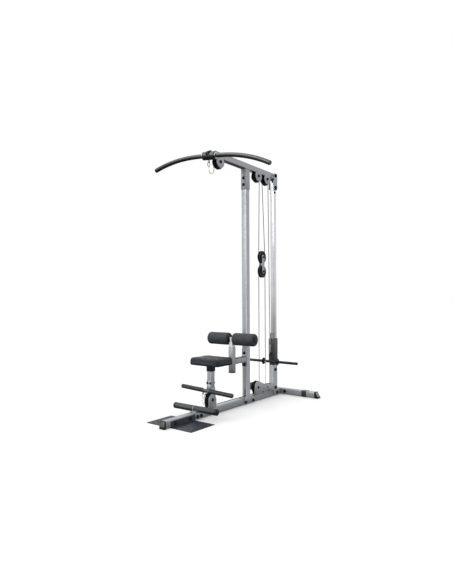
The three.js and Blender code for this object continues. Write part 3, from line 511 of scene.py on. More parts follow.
def dress(node, body, look, bevel=0.0008):
    """The CAD node's own shape with its sharp edges rounded."""
    shape = Shape()
    shape.bm.from_mesh(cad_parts[node].data)
    bmesh.ops.remove_doubles(shape.bm, verts=shape.bm.verts, dist=0.0002)
    bmesh.ops.dissolve_limit(
        shape.bm, angle_limit=math.radians(1), verts=shape.bm.verts, edges=shape.bm.edges,
    )
    sharp = [e for e in shape.bm.edges if e.is_manifold and e.calc_face_angle(0) > math.radians(50)]
    bmesh.ops.bevel(
        shape.bm, geom=sharp, offset=bevel, segments=2, affect="EDGES", profile=0.5, clamp_overlap=True,
    )
    return shape.piece(node + "_finished", look, body, node)


def arc(y, z, radius, start, end, steps=24):
    """Points on a circle in the YZ plane; degrees from +Y towards +Z."""
    return [
        Vector((0, y + radius * math.cos(a), z + radius * math.sin(a))) for a in angles(start, end, steps)
    ]


def straight(start, end, steps=24):
    start, end = Vector(start), Vector(end)
    return [start.lerp(end, i / steps) for i in range(steps + 1)]


def resample(points, count, closed=False):
    """count + 1 points evenly spaced along a line (count on a closed one)."""
    points = [Vector(p) for p in points]
    if closed:
        points.append(points[0])
    lengths = [0.0]
    for a, b in zip(points, points[1:]):
        lengths.append(lengths[-1] + (b - a).length)
    result, index = [], 0
    for i in range(count if closed else count + 1):
        goal = lengths[-1] * i / count
        while index < len(points) - 2 and lengths[index + 1] < goal:
            index += 1
        span = lengths[index + 1] - lengths[index]
        result.append(points[index].lerp(points[index + 1], (goal - lengths[index]) / span if span else 0))
    return result


def stadium(half_length, half_width, steps):
    """A closed outline with round ends, in the XY plane, long along X."""
    reach = half_length - half_width
    return [
        Vector((side * reach + half_width * math.cos(a), half_width * math.sin(a), 0))
        for side, start in ((1, -90), (-1, 90))
        for a in angles(start, start + 180, steps)
    ]


def chain(shape, points, link=0.022, width=0.012, wire=0.0026):
    """Oval links along a line, each turned a quarter from the last."""
    points = [Vector(p) for p in points]
    total = sum((b - a).length for a, b in zip(points, points[1:]))
    pitch = link - 2.1 * wire
    count = max(1, round(total / pitch))
    stops = resample(points, count)
    for i, (a, b) in enumerate(zip(stops, stops[1:])):
        along = (b - a).normalized()
        twist = Matrix.Rotation(math.pi / 2 * (i % 2), 4, "X")
        place = Matrix.Translation((a + b) / 2) @ along.to_track_quat("X", "Z").to_matrix().to_4x4() @ twist
        half = ((b - a).length + 2.1 * wire) / 2
        outline = [place @ p for p in stadium(half - wire / 2, (width - wire) / 2, 6)]
        shape.sweep(outline, wire / 2, 8, closed=True)
    return shape


def snap_hook(shape, top, bottom, turn=0.0, wire=0.0052, width=0.026):
    """A pear-shaped spring hook hung between two points, with its gate."""
    top, bottom = Vector(top), Vector(bottom)
    along = (bottom - top).normalized()
    across = Matrix.Rotation(turn, 3, along) @ along.orthogonal().normalized()
    length = (bottom - top).length - wire
    start = top + along * wire / 2
    outline = []
    for t in turns(40):
        reach = (0.5 - 0.5 * math.cos(t)) * length
        swell = (width - wire) / 2 * math.sin(t) * (0.80 + 0.24 * (0.5 - 0.5 * math.cos(t)))
        outline.append(start + along * reach + across * swell)
    shape.sweep(outline, wire / 2, 12, closed=True)
    gate = [start + along * length * share + across * (width - wire) * 0.5 for share in (0.32, 0.68)]
    shape.sweep(resample(gate, 6), wire * 0.58, 12)
    return shape


def weld(shape, points, radius=0.0022, closed=False):
    """A rippled weld bead along a line."""
    count = max(6, int(sum((b - a).length for a, b in zip(points, points[1:])) / 0.0012))
    line = resample(points, count, closed)
    radii = [radius * (1 + 0.16 * math.sin(2.1 * i) + 0.06 * math.sin(5.3 * i)) for i in range(len(line))]
    return shape.sweep(line, radii, 8, closed)


def square_loop(x, y, z, half_x, half_y, corner=0.004):
    """A closed loop round a tube that stands along Z."""
    points = []
    for sx, sy in ((1, 1), (-1, 1), (-1, -1), (1, -1)):
        for step in (0, 1, 2, 3):
            a = math.atan2(sy, sx) - math.pi / 4 + math.pi / 2 * step / 3
            points.append(Vector((
                x + sx * (half_x - corner) + corner * math.cos(a),
                y + sy * (half_y - corner) + corner * math.sin(a),
                z,
            )))
    return points


# ---- base ------------------------------------------------------------------

def build_base():
    # The base and cross tubes take the darker copy of the frame paint: painted shade.
    dress("base_tube", "frame", "shaded_frame_paint")
    dress("rear_cross_tube", "frame", "shaded_frame_paint")
    for cap in CAPS:
        dress(cap, "frame", "black_plastic", 0.0025)
    cap_panels()
    rubber_bands()
    foot_plate()
    base_bolts()


def cap_panels():
    """A grey anti-slip panel let into the slanted face of each end cap."""
    for cap in CAPS:
        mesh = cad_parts[cap].data
        slanted = [p for p in mesh.polygons if 0.2 < p.normal.z < 0.95]
        normal = sum((p.normal * p.area for p in slanted), Vector()).normalized()
        corners = [mesh.vertices[i].co for p in slanted for i in p.vertices]
        centre = sum(corners, Vector()) / len(corners)
        place = Matrix.Translation(centre) @ normal.to_track_quat("Z", "Y").to_matrix().to_4x4()
        flat = [place.inverted() @ co for co in corners]
        half_u, half_v = (max(abs(co[i]) for co in flat) for i in (0, 1))
        outline = [(p.x, p.y) for p in rounded_outline(half_u - 0.006, half_v - 0.006, 0.006, 4)]
        place = place @ Matrix.Translation((0, 0, -0.001))
        panel = Shape().plate(outline, place, 0.0019, 0.0005)
        panel.piece(f"{cap}_panel", "dark_nylon" if cap == "front_foot_cap" else "grey_nylon", "frame")


def rubber_bands():
    """Ribbed bands stretched round the cross tube near its ends."""
    low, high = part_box("rear_cross_tube")
    centre = (low + high) / 2
    for side, sign in SIDES:
        shape = Shape()
        start, end, ribs = 0.246, 0.296, 6
        step = (end - start) / ribs
        rings = []
        for i in range(ribs):
            for share, grow in ((0.06, 0.0012), (0.2, 0.0026), (0.8, 0.0026), (0.94, 0.0012)):
                x = sign * (start + step * (i + share))
                loop = square_loop(0, 0, 0, TUBE / 2 + grow, TUBE / 2 + grow, 0.006)
                rings.append([Vector((x, centre.y + p.x, centre.z + p.y)) for p in loop])
        shape.rings(rings).piece(f"cross_tube_band_{side}", "black_rubber", "frame")
        plug = Shape().turn(
            [(0, 0.0), (0.011, 0.0), (0.0105, 0.002), (0.007, 0.003), (0, 0.0032)],
            (sign * 0.300, centre.y + 0.008, high.z), (0, 0, 1), 32,
        )
        plug.piece(f"cross_tube_plug_{side}", "black_plastic", "frame")


def foot_plate():
    """The ribbed sheet and its flanges, with raised lozenges in alternate directions."""
    dress("front_foot_plate", "frame", "black_paint", 0.0006)
    low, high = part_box("front_foot_plate")
    sheet_top, pitch = 0.0037, 0.024
    shape = Shape()
    columns = int((high.x - TUBE / 2 - 0.012) / pitch)
    rows = int((high.y - low.y - 0.012) / pitch)
    for sign in (1, -1):
        for i in range(columns):
            for j in range(rows):
                x = sign * (TUBE / 2 + 0.014 + pitch * (i + 0.45))
                y = low.y + 0.008 + pitch * (j + 0.45)
                slant = math.radians(45 if (i + j) % 2 else -45)
                lozenge(shape, Vector((x, y, sheet_top)), slant)
    shape.piece("foot_plate_tread", "black_paint", "frame", angle=20)


def lozenge(shape, centre, slant, long_half=0.0088, short_half=0.0030, height=0.0011):
    turn = Matrix.Translation(centre) @ Matrix.Rotation(slant, 4, "Z")
    rings = []
    for grow, z in ((1.0, -0.0004), (1.0, 0.0), (0.72, height * 0.8), (0.35, height)):
        points = ((1, 0), (0.5, 0.75), (0, 1), (-0.5, 0.75), (-1, 0), (-0.5, -0.75), (0, -1), (0.5, -0.75))
        rings.append([turn @ Vector((long_half * grow * u, short_half * grow * v, z)) for u, v in points])
    shape.rings(rings)


def base_bolts():
    """Bolts through the base tube, with heads on the right side and nuts on the left."""
    flange = 0.0297
    plate_low, plate_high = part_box("front_foot_plate")
    brace_low, brace_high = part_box("foot_brace")
    shape = Shape()
    for y, z in (
        (MAST.y - 0.049, 0.024), (MAST.y + 0.060, 0.024),
        (brace_low.y + 0.021, 0.026), (brace_high.y - 0.017, 0.026),
        (plate_low.y + 0.045, 0.028), (plate_high.y - 0.05, 0.028), (middle("rear_post").y, 0.028),
    ):
        shape.through((flange, y, z), (-flange, y, z))
    cross_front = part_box("rear_cross_tube")[0].y
    for sign in (1, -1):
        shape.bolt((sign * 0.070, cross_front, 0.030), (0, -1, 0), 0.0135)
    shape.piece("base_bolts", "black_steel", "frame", angle=25)


# ---- mast and boom ---------------------------------------------------------

def build_mast():
    for node in ("front_mast", "upright_top_bracket", "rear_post"):
        dress(node, "frame", "frame_paint")
    # The boom takes the darker copy of the frame paint: painted shade.
    dress("top_boom", "frame", "shaded_frame_paint")
    dress("guide_upright", "frame", "chrome")
    dress("boom_end_cap", "frame", "black_plastic", 0.0015)
    dress("bar_clip", "frame", "black_steel", 0.0006)
    mast_bolts()
    frame_welds()


def mast_bolts():
    shape = Shape()
    socket = 0.0288
    for z in (1.947, 1.890):
        shape.through((0, MAST.y - socket, z), (0, MAST.y + socket, z))
    for node in ("lat_pulley", "top_pulley_front", "top_pulley_rear"):
        centre = middle(node)
        shape.through((socket, centre.y, centre.z), (-socket, centre.y, centre.z))
    low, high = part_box("upright_top_bracket")
    for z in (high.z - 0.020, low.z + 0.017):
        shape.through((high.x, 0.670, z), (low.x, 0.670, z), 0.0145, 0.0125)
    low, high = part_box("guide_upright")
    shape.through((high.x, 0.668, 1.903), (low.x, 0.668, 1.903), 0.009, 0.009)
    for z in (0.243, 0.077):
        shape.through((TUBE / 2, 0.655, z), (-TUBE / 2, 0.655, z), 0.0135)
    shape.piece("frame_bolts", "black_steel", "frame", angle=25)


def frame_welds():
    shape = Shape()
    boom_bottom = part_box("boom_end_cap")[0].z
    weld(shape, square_loop(0, MAST.y, boom_bottom - 0.001, 0.0290, 0.0290), closed=True)
    saddle = 0.0592
    weld(shape, square_loop(0, MAST.y, saddle, 0.0262, 0.0262), closed=True)
    low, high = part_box("rear_post")
    weld(shape, square_loop(0, (low.y + high.y) / 2 - 0.0095, saddle, 0.0262, 0.0355), closed=True)
    holder = middle("knee_post").y
    arm_z = 0.381
    for y in (holder + 0.0228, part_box("knee_arm")[1].y - 0.0045):
        loop = square_loop(0, arm_z, 0, 0.0225, 0.0225)
        weld(shape, [Vector((p.x, y, p.y)) for p in loop], 0.0018, closed=True)
    shape.piece("frame_welds", "frame_paint", "frame", angle=60)


# ---- pulleys and cables ----------------------------------------------------

def build_pulleys():
    for node in PULLEYS:
        pulley(node)
    for node, body in (
        ("low_front_bracket", "frame"), ("low_rear_bracket", "frame"), ("pulley_block", "pulley_block"),
    ):
        dress(node, body, "frame_paint", 0.0006)
    axle_bolts()


def pulley(node):
    """A grooved nylon wheel with recessed sides round a sealed bearing."""
    centre = middle(node)
    mm = 0.001
    half = [
        (13.0, 11.8), (15.6, 11.8), (16.4, 11.0), (17.5, 5.6), (19.0, 4.8), (41.0, 4.8), (42.6, 5.6),
        (44.0, 9.2), (45.0, 9.9), (55.6, 9.9), (56.6, 9.4), (57.0, 8.4), (55.5, 6.4), (51.5, 3.9),
        (49.5, 3.6),
        (48.0, 2.6), (47.3, 1.0),
    ]
    profile = [(r * mm, x * mm) for r, x in half] + [(r * mm, -x * mm) for r, x in reversed(half)]
    shape = Shape().turn(profile + [profile[0]], centre, segments=72)
    for a in turns(6):
        for sign in (1, -1):
            spoke = [
                centre + Vector((sign * 5.0 * mm, r * mm * math.cos(a), r * mm * math.sin(a)))
                for r in (17, 43)
            ]
            shape.sweep(resample(spoke, 2), 1.6 * mm, 8)
    shape.piece(f"{node}_wheel", "black_plastic", node, node)
    races = Shape()
    for inner, outer, face in ((6.5, 8.6, 11.2), (10.6, 12.9, 11.2), (8.7, 10.5, 10.4)):
        ring = [(inner, -face), (outer, -face), (outer, face), (inner, face), (inner, -face)]
        races.turn([(r * mm, x * mm) for r, x in ring], centre, segments=40)
    races.piece(f"{node}_bearing", "zinc_steel", node)


def axle_bolts():
    frame_bolts, block_bolts = Shape(), Shape()
    for node, bracket, shape, size, inset in (
        ("low_pulley_front", "low_front_bracket", frame_bolts, 0.010, 0),
        ("low_pulley_rear", "low_rear_bracket", frame_bolts, 0.010, 0),
        ("block_pulley_upper", "pulley_block", block_bolts, 0.009, 0.005),
        ("block_pulley_lower", "pulley_block", block_bolts, 0.009, 0.005),
    ):
        low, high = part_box(bracket)
        centre = middle(node)
        shape.through((high.x - inset, centre.y, centre.z), (low.x + inset, centre.y, centre.z), size, size)
    low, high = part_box("low_rear_bracket")
    for y, z in ((0.445, 0.068), (0.540, 0.068), (ANCHOR.y, ANCHOR.z)):
        frame_bolts.through((high.x, y, z), (low.x, y, z), 0.006, 0.006)
    low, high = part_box("low_front_bracket")
    post_y = middle("seat_post_collar").y
    for z in (0.190, 0.165):
        frame_bolts.through((high.x - 0.002, post_y, z), (low.x + 0.002, post_y, z), 0.007, 0.007)
    frame_bolts.piece("axle_bolts", "black_steel", "frame", angle=25)
    block_bolts.piece("block_bolts", "black_steel", "pulley_block", angle=25)


def cable(name, points, body, *nodes):
    return Shape().sweep(points, CABLE, 12).piece(name, "cable_coat", body, *nodes)


def build_cables():
    """The two cables, split where a joint lengthens them."""
    lat, front, rear = (middle(n) for n in ("lat_pulley", "top_pulley_front", "top_pulley_rear"))
    upper, lower = middle("block_pulley_upper"), middle("block_pulley_lower")
    low_front, low_rear = middle("low_pulley_front"), middle("low_pulley_rear")

    drop = straight((0, lat.y - WRAP, LAT_CABLE_END), (0, lat.y - WRAP, lat.z), 40)
    piece = cable("lat_cable_drop_rope", drop, None, "lat_cable_drop")
    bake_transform(piece)

    run = arc(lat.y, lat.z, WRAP, 180, 90) + arc(front.y, front.z, WRAP, 90, 0)
    cable("lat_cable_run_rope", run, "frame", "lat_cable_run")

    turn = arc(upper.y, upper.z, WRAP, 180, 360)
    loop = straight((0, front.y + WRAP, front.z), turn[0], 60)[:-1] + turn
    loop += straight(turn[-1], (0, rear.y - WRAP, rear.z), 60)[1:]
    piece = cable("lat_cable_loop_rope", loop, None)
    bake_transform(piece)
    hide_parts("lat_cable_loop")
    cable("lat_cable_rear_rope", arc(rear.y, rear.z, WRAP, 180, 0), "frame")

    rise = straight((0, rear.y + WRAP, rear.z), (0, CARRIAGE_EYE.y, CARRIAGE_CABLE_END), 200)
    piece = cable("carriage_cable_rope", rise, None, "carriage_cable")
    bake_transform(piece)

    run = arc(low_front.y, low_front.z, WRAP, 180, 270) + arc(low_rear.y, low_rear.z, WRAP, 270, 360)
    cable("row_cable_run_rope", run, "frame", "row_cable_run")
    lead = straight((0, low_front.y - WRAP, low_front.z), BALL - Vector((0, 0, 0.006)), 40)
    piece = cable("row_cable_lead_rope", lead, None)
    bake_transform(piece)

    turn = arc(lower.y, lower.z, WRAP, 180, 0)
    loop = straight((0, low_rear.y + WRAP, low_rear.z), turn[0], 120)[:-1] + turn
    loop += straight(turn[-1], (0, lower.y + WRAP, ANCHOR_TOP + 0.004), 120)[1:]
    piece = cable("row_cable_loop_rope", loop, None)
    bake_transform(piece)
    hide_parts("row_cable_loop")

    links = chain(Shape(), straight(ANCHOR, (0, ANCHOR.y, ANCHOR_TOP - 0.016), 2))
    links.piece("adjusting_chain", "zinc_steel", "frame", "anchor_chain")
    ferrule((0, ANCHOR.y, ANCHOR_TOP - 0.022), "row_cable_ferrule", "frame")
    ferrule((0, CARRIAGE_EYE.y, CARRIAGE_CABLE_END - 0.024), "carriage_cable_ferrule", "carriage")
    ferrule((0, lat.y - WRAP, LAT_CABLE_END - 0.022), "lat_cable_ferrule", "lat_bar")


def ferrule(foot, name, body):
    """A swaged sleeve on a cable's end with an eye below it."""
    shape = Shape().turn(
        [(0, 0.004), (0.0040, 0.004), (0.0046, 0.006), (0.0046, 0.021), (0.0036, 0.024), (0, 0.0245)],
        foot, (0, 0, 1), 24,
    )
    shape.sweep(ring_yz(foot, 0.0045, 20), 0.0013, 8, closed=True)
    shape.piece(name, "zinc_steel", body)


# ---- carriage --------------------------------------------------------------

def build_carriage():
    dress("carriage_sleeve", "carriage", "carriage_paint", 0.0012)
    dress("carriage_liner", "carriage", "grey_nylon", 0.0012)
    dress("carriage_bumper", "frame", "black_rubber", 0.002)
    for side, sign in SIDES:
        weight_horn(side, sign)
    links = Shape()
    hook_top = CARRIAGE_EYE.z + 0.086
    snap_hook(links, (0, CARRIAGE_EYE.y, hook_top), (0, CARRIAGE_EYE.y, CARRIAGE_EYE.z - 0.0005), math.pi / 2)
    chain(links, [(0, CARRIAGE_EYE.y, hook_top - 0.006), (0, CARRIAGE_EYE.y, CARRIAGE_CABLE_END - 0.022)])
    links.piece("carriage_hook_and_links", "zinc_steel", "carriage", "carriage_snap_hook")


def weight_horn(side, sign):
    """Half of the bar across the carriage, with a stop disc and a plastic end cap."""
    low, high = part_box(f"weight_horn_{side}")
    centre = (low + high) / 2
    tip = high.x if sign > 0 else -low.x
    foot = Vector((0, centre.y, centre.z))
    profile = [
        (0, 0.0001), (0.0125, 0.0001), (0.0125, 0.0690), (0.0150, 0.0715), (0.0295, 0.0720), (0.0310, 0.0732),
        (0.0310, 0.0768), (0.0295, 0.0780), (0.0150, 0.0785), (0.0125, 0.0805),
        (0.0125, tip - 0.014), (0, tip - 0.014),
    ]
    shape = Shape().turn(profile, foot, (sign, 0, 0), 56)
    bead = [Vector((sign * x * 0.001, centre.y + 0.0118, centre.z + 0.0102)) for x in range(1, 28, 2)]
    weld(shape, bead, 0.0024)
    shape.piece(f"weight_horn_{side}_peg", "gunmetal", "carriage", f"weight_horn_{side}")
    cap = [
        (0, tip - 0.0138), (0.0128, tip - 0.0138), (0.0128, tip - 0.003), (0.0118, tip - 0.0008),
        (0.0095, tip), (0, tip),
    ]
    Shape().turn(cap, foot, (sign, 0, 0), 40).piece(f"weight_horn_{side}_cap", "black_plastic", "carriage")


# ---- bars ------------------------------------------------------------------

def lat_bar_frame():
    yaw, roll = (math.radians(LAT_BAR[key]) for key in ("yaw", "roll"))
    place = Matrix.Translation([LAT_BAR[key] for key in "xyz"])
    return place @ Matrix.Rotation(yaw, 4, "Z") @ Matrix.Rotation(roll, 4, "Y")


def lat_bar_line(start, end, steps):
    """The bar's centreline, flat in the middle and bent down towards its ends."""
    place = lat_bar_frame()
    points = []
    for i in range(steps + 1):
        x = start + (end - start) * i / steps
        bent = max(abs(x - LAT_BAR["shift"]) - LAT_BAR["flat"], 0) / (LAT_BAR["half"] - LAT_BAR["flat"])
        points.append(place @ Vector((x, 0, -LAT_BAR["drop"] * bent ** LAT_BAR["bend"])))
    return points


def build_lat_bar():
    half, shift, grip, start = (LAT_BAR[k] for k in ("half", "shift", "grip", "grip_start"))
    tube = Shape().sweep(lat_bar_line(shift - half + 0.004, shift + half - 0.004, 90), LAT_BAR["radius"], 24)
    tube.piece("lat_bar_tube", "black_paint", "lat_bar", "lat_bar")
    for side, sign in SIDES:
        line = lat_bar_line(sign * start, shift + sign * half, 120)
        sleeve = Shape().sweep(line, [grip_radius(i, 120, grip) for i in range(121)], 32)
        sleeve.piece(f"lat_bar_grip_{side}_sleeve", "black_rubber", "lat_bar", f"lat_bar_grip_{side}")
    lat_hanger()


def grip_radius(step, steps, radius):
    """A moulded grip's radius: round shoulders at both ends and a shallow ring next to each."""
    edge = min(step, steps - step)
    if edge == 0:
        return radius * 0.86
    if edge == 1:
        return radius * 0.97
    return radius * (0.965 if edge == 5 else 1.0)


def lat_hanger():
    """The rubber sleeve at the bar's middle, with a steel ring at each end and an eye lug below."""
    place = lat_bar_frame()
    centre = place @ Vector((0, 0, 0))
    axis = (place @ Vector((1, 0, 0)) - centre).normalized()
    r, half = HANGER["radius"], HANGER["half"]
    bore = LAT_BAR["radius"] + 0.0003
    shoulder = [
        (r - 0.010 + 0.010 * math.sin(a), half - 0.010 + 0.010 * math.cos(a)) for a in angles(0, 90, 6)
    ]
    profile = [(bore, -half)] + [(radius, -x) for radius, x in shoulder]
    for x in (-0.035, 0.035):
        profile += [(r, x - 0.0016), (r - 0.0008, x - 0.0008), (r - 0.0008, x + 0.0008), (r, x + 0.0016)]
    profile += list(reversed(shoulder)) + [(bore, half), (bore, -half)]
    shape = Shape().turn(profile, centre, axis, 64)
    shape.piece("lat_bar_hanger_sleeve", "black_rubber", "lat_bar", "lat_bar_hanger")
    rings = Shape()
    for sign in (1, -1):
        near, far = half + 0.0004, half + 0.0040
        ring = [
            (bore, near), (0.0235, near), (0.0245, near + 0.001), (0.0245, far - 0.001), (0.0235, far),
            (bore, far), (bore, near),
        ]
        rings.turn(ring, centre, axis * sign, 48)
    rings.piece("lat_bar_hanger_rings", "chrome", "lat_bar")
    lug = Shape()
    eye_z = -r - HANGER["eye_drop"]
    eyelet = [place @ point for point in ring_yz((0, 0, eye_z), 0.0098, 28)]
    lug.sweep(eyelet, 0.0028, 12, closed=True)
    neck = [place @ Vector((0, 0, -r + 0.0015)), place @ Vector((0, 0, eye_z + 0.0085))]
    lug.sweep(resample(neck, 4), [0.0075, 0.0068, 0.0058, 0.0048, 0.0042], 16)
    lug.piece("lat_bar_hanger_eye", "zinc_steel", "lat_bar")
    lat_chain(place @ Vector((0, 0, eye_z)))


def lat_chain(eye):
    lat = middle("lat_pulley")
    hook_bottom = eye.z - 0.045
    hook = snap_hook(Shape(), eye + Vector((0, 0, 0.0015)), (eye.x, eye.y, hook_bottom), 0.5, 0.0046, 0.024)
    hook.piece("lat_snap_hook", "black_steel", "lat_bar")
    bend = (lat.y - WRAP - eye.y) / 2
    low = LAT_CABLE_END - 0.020
    hanging = [Vector((eye.x, eye.y, hook_bottom + 0.004))]
    for i, a in enumerate(angles(180, 360, 12)):
        x = eye.x * (1 - i / 12)
        hanging.append(Vector((x, eye.y + bend + bend * math.cos(a), low + bend * math.sin(a))))
    hanging.append(Vector((0, lat.y - WRAP, LAT_CABLE_END - 0.023)))
    links = chain(Shape(), hanging, 0.017, 0.0098, 0.0022)
    links.piece("lat_bar_links", "zinc_steel", "lat_bar", "lat_bar_chain")


def build_row_bar():
    y, z, half, start = (ROW_BAR[k] for k in ("y", "z", "half", "grip_start"))
    radius, grip = ROW_BAR["radius"], ROW_BAR["grip"]
    roll = math.radians(ROW_BAR["roll"])
    axis = Vector((math.cos(roll), 0, -math.sin(roll)))
    tube = [
        (0, -half), (radius - 0.0015, -half), (radius, 0.0015 - half), (radius, half - 0.0015),
        (radius - 0.0015, half), (0, half),
    ]
    Shape().turn(tube, (0, y, z), axis, 40).piece("row_bar_tube", "row_steel", "row_bar", "row_bar")
    for side, sign in SIDES:
        bore, tip = radius + 0.0003, half + 0.002
        profile = [(bore, start), (grip - 0.0015, start), (grip, start + 0.0015), (grip, start + 0.006),
                   (grip - 0.0008, start + 0.007), (grip - 0.0008, start + 0.0085), (grip, start + 0.0095)]
        profile += grooves(grip, start + 0.014, tip - 0.016, 26, 0.25)
        profile += [(grip, tip - 0.004), (grip - 0.001, tip - 0.0012), (grip - 0.004, tip)]
        profile += [(bore, tip), (bore, start)]
        shape = Shape().turn(profile, (0, y, z), axis * sign, 40)
        plug = ((0, 0.0002), (0.0119, 0.0002), (0.0119, 0.0012), (0.009, 0.0019), (0, 0.002))
        shape.turn([(r, half + x) for r, x in plug], (0, y, z), axis * sign, 32)
        shape.piece(f"row_bar_grip_{side}_sleeve", "grip_rubber", "row_bar", f"row_bar_grip_{side}")
    row_lug_and_chain()
    dress("row_bar_hook", "frame", "frame_paint", 0.0006)


def grooves(radius, start, end, count, middle_share):
    """Profile points of shallow grooves round a grip, evenly spaced from start to end."""
    step = (end - start) / count
    points = []
    for i in range(count):
        x = start + step * i
        points += [
            (radius, x), (radius - 0.0005, x + step * middle_share), (radius, x + step * 2 * middle_share),
        ]
    return points


def row_lug_and_chain():
    y, z, lug_x, eye_y, eye_z = (ROW_BAR[k] for k in ("y", "z", "lug_x", "eye_y", "eye_z"))
    lug = Shape()
    lug.sweep(ring_yz((lug_x, eye_y, eye_z), 0.0066, 24), 0.0023, 10, closed=True)
    lug.sweep([(lug_x, eye_y + 0.004, eye_z + 0.005), (lug_x, y - 0.002, z - 0.0115)], [0.0035, 0.0055], 12)
    lug.piece("row_bar_lug", "black_steel", "row_bar")
    hook_bottom = eye_z - 0.040
    links = snap_hook(Shape(), (lug_x, eye_y, eye_z + 0.001), (lug_x, eye_y, hook_bottom), 0.3, 0.0040, 0.020)
    bend, low = 0.009, 0.098
    hanging = [Vector((lug_x, eye_y, hook_bottom + 0.003))]
    for a in angles(180, 360, 8):
        hanging.append(Vector((lug_x + bend + bend * math.cos(a), eye_y - 0.006, low + bend * math.sin(a))))
    hanging += [Vector((-0.003, eye_y - 0.006, 0.140)), BALL + Vector((0, -0.006, -0.004))]
    chain(links, hanging, 0.015, 0.0082, 0.0019)
    links.piece("row_bar_links", "zinc_steel", "row_bar", "row_bar_chain")
    half = [(8.2, 3.2), (6.2, 6.2), (3.4, 8.4), (0, 8.8)]
    outline = [(r, -h) for r, h in reversed(half)] + [(8.9, 0)] + half
    ball = Shape().turn([(r * 0.001, h * 0.001) for r, h in outline], BALL, (0, 0, 1), 32)
    ball.piece("row_cable_ball", "black_rubber", "row_bar")


# ---- seat and knee hold-down -----------------------------------------------

def build_seat():
    dress("seat_post", "frame", "frame_paint")
    dress("seat_post_collar", "frame", "black_plastic", 0.002)
    dress("seat_stem", "seat", "frame_paint")
    seat_bolts()
    pull_pin("seat_pin")
    seat_pad()


def seat_bolts():
    """Two bolts through the bar hook's plate and the post, with nuts behind."""
    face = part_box("row_bar_hook")[1].y - 0.004
    shape = Shape()
    back = middle("seat_post_collar").y + 0.0223
    for x in (0.0134, -0.0134):
        shape.through((x, face, 0.247), (x, back, 0.247), 0.0085, 0.008)
    shape.piece("seat_post_bolts", "black_steel", "frame", angle=25)


def pull_pin(node):
    """A knurled pull knob on a steel plunger, behind the post."""
    low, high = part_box(node)
    tip = Vector(((low.x + high.x) / 2, high.y, (low.z + high.z) / 2))
    length = high.y - low.y
    stem = [(0, 0.0118), (0.0035, 0.0118), (0.0039, 0.0122)]
    stem += [(0.0039, length - 0.001), (0.003, length), (0, length)]
    Shape().turn(stem, tip, (0, -1, 0), 24).piece(f"{node}_plunger", "zinc_steel", node)
    knob, rings, segments = Shape(), [], 48
    for radius, height, knurl in (
        (0.0, 0.0, 0), (0.0058, 0.0001, 0), (0.0080, 0.0012, 0), (0.0094, 0.0030, 0.03),
        (0.0095, 0.0055, 0.06),
        (0.0094, 0.0080, 0.03), (0.0086, 0.0100, 0), (0.0078, 0.0117, 0), (0.0, 0.0118, 0),
    ):
        reach = [max(radius * (1 - knurl * (i % 2)), 1e-5) for i in range(segments)]
        rings.append([
            tip + Vector((r * math.cos(t), -height, r * math.sin(t))) for r, t in zip(reach, turns(segments))
        ])
    knob.rings(rings).piece(f"{node}_knob", "black_plastic", node, node)


def rounded_outline(half_x, half_y, corner, steps=8):
    return [
        Vector((
            sx * (half_x - corner) + corner * math.cos(a), sy * (half_y - corner) + corner * math.sin(a), 0,
        ))
        for sx, sy, start in ((1, 1, 0), (-1, 1, 90), (-1, -1, 180), (1, -1, 270))
        for a in angles(start, start + 90, steps)
    ]


def stacked(centre, half_x, half_y, corner, layers):
    """A solid of rounded outlines one above the other; each layer is (growth, z)."""
    rings = []
    for grow, z in layers:
        outline = rounded_outline(half_x + grow, half_y + grow, corner)
        rings.append([Vector((centre.x + p.x, centre.y + p.y, z)) for p in outline])
    return Shape().rings(rings)


def seat_pad():
    """A vinyl pad on a black board: blown up by a cloth simulation, then seamed round its top edge."""
    low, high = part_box("seat_pad")
    centre = (low + high) / 2
    half_x, half_y = (high.x - low.x) / 2, (high.y - low.y) / 2
    board_top = low.z + 0.008
    layers = ((-0.012, low.z), (-0.010, low.z + 0.002), (-0.010, board_top))
    board = stacked(centre, half_x, half_y, 0.034, layers)
    board.piece("seat_board", "black_plastic", "seat")

    inset, top = 0.0065, high.z - 0.0055
    layers = (
        (-0.006, board_top - 0.0035), (-0.0015, board_top - 0.002), (0.0, board_top + 0.002),
        (0.0, top - 0.012), (-0.002, top - 0.004), (-0.007, top),
    )
    start = stacked(centre, half_x - inset, half_y - inset, 0.036, layers)
    bmesh.ops.recalc_face_normals(start.bm, faces=start.bm.faces)
    mesh = bpy.data.meshes.new("seat_cushion")
    start.bm.to_mesh(mesh)
    start.bm.free()
    cushion = bpy.data.objects.new("seat_cushion", mesh)
    SCENE.collection.objects.link(cushion)
    inflate(cushion, 0.0045, 4.0, 0.0036, low)
    settle_in_box(cushion.data, low, high, board_top)
    seam = seam_line(cushion.data, centre, half_x, half_y, high.z - 0.013)
    pinch(cushion.data, seam, 0.006, 0.0011, centre)
    mesh = cushion.data
    bpy.data.objects.remove(cushion)
    pad = place_piece(mesh, "seat_cushion_cover", "seat_vinyl", "seat", ("seat_pad",), angle=70)
    stitches(seam, 0.0062, "seat_stitching", "seat")


def inflate(piece, voxel, pressure, cap, low):
    """Remeshes a closed shape and blows it up as cloth, each point moving cap at most."""
    bpy.context.view_layer.objects.active = piece
    remesh = piece.modifiers.new("remesh", "REMESH")
    remesh.mode, remesh.voxel_size = "VOXEL", voxel
    apply_modifiers(piece)
    before = [v.co.copy() for v in piece.data.vertices]
    held = piece.vertex_groups.new(name="held")
    base = [i for i, co in enumerate(before) if co.z < low.z + 0.010]
    held.add(base, 1.0, "REPLACE")
    cloth = piece.modifiers.new("cloth", "CLOTH")
    settings = cloth.settings
    settings.use_pressure = True
    settings.uniform_pressure_force = pressure
    settings.vertex_group_mass = "held"
    settings.effector_weights.gravity = 0
    cloth.collision_settings.use_collision = False
    for step in range(1, 21):
        SCENE.frame_set(step)
    apply_modifiers(piece)
    SCENE.frame_set(1)
    for vertex, start in zip(piece.data.vertices, before):
        move = vertex.co - start
        if move.length > cap:
            vertex.co = start + move.normalized() * cap


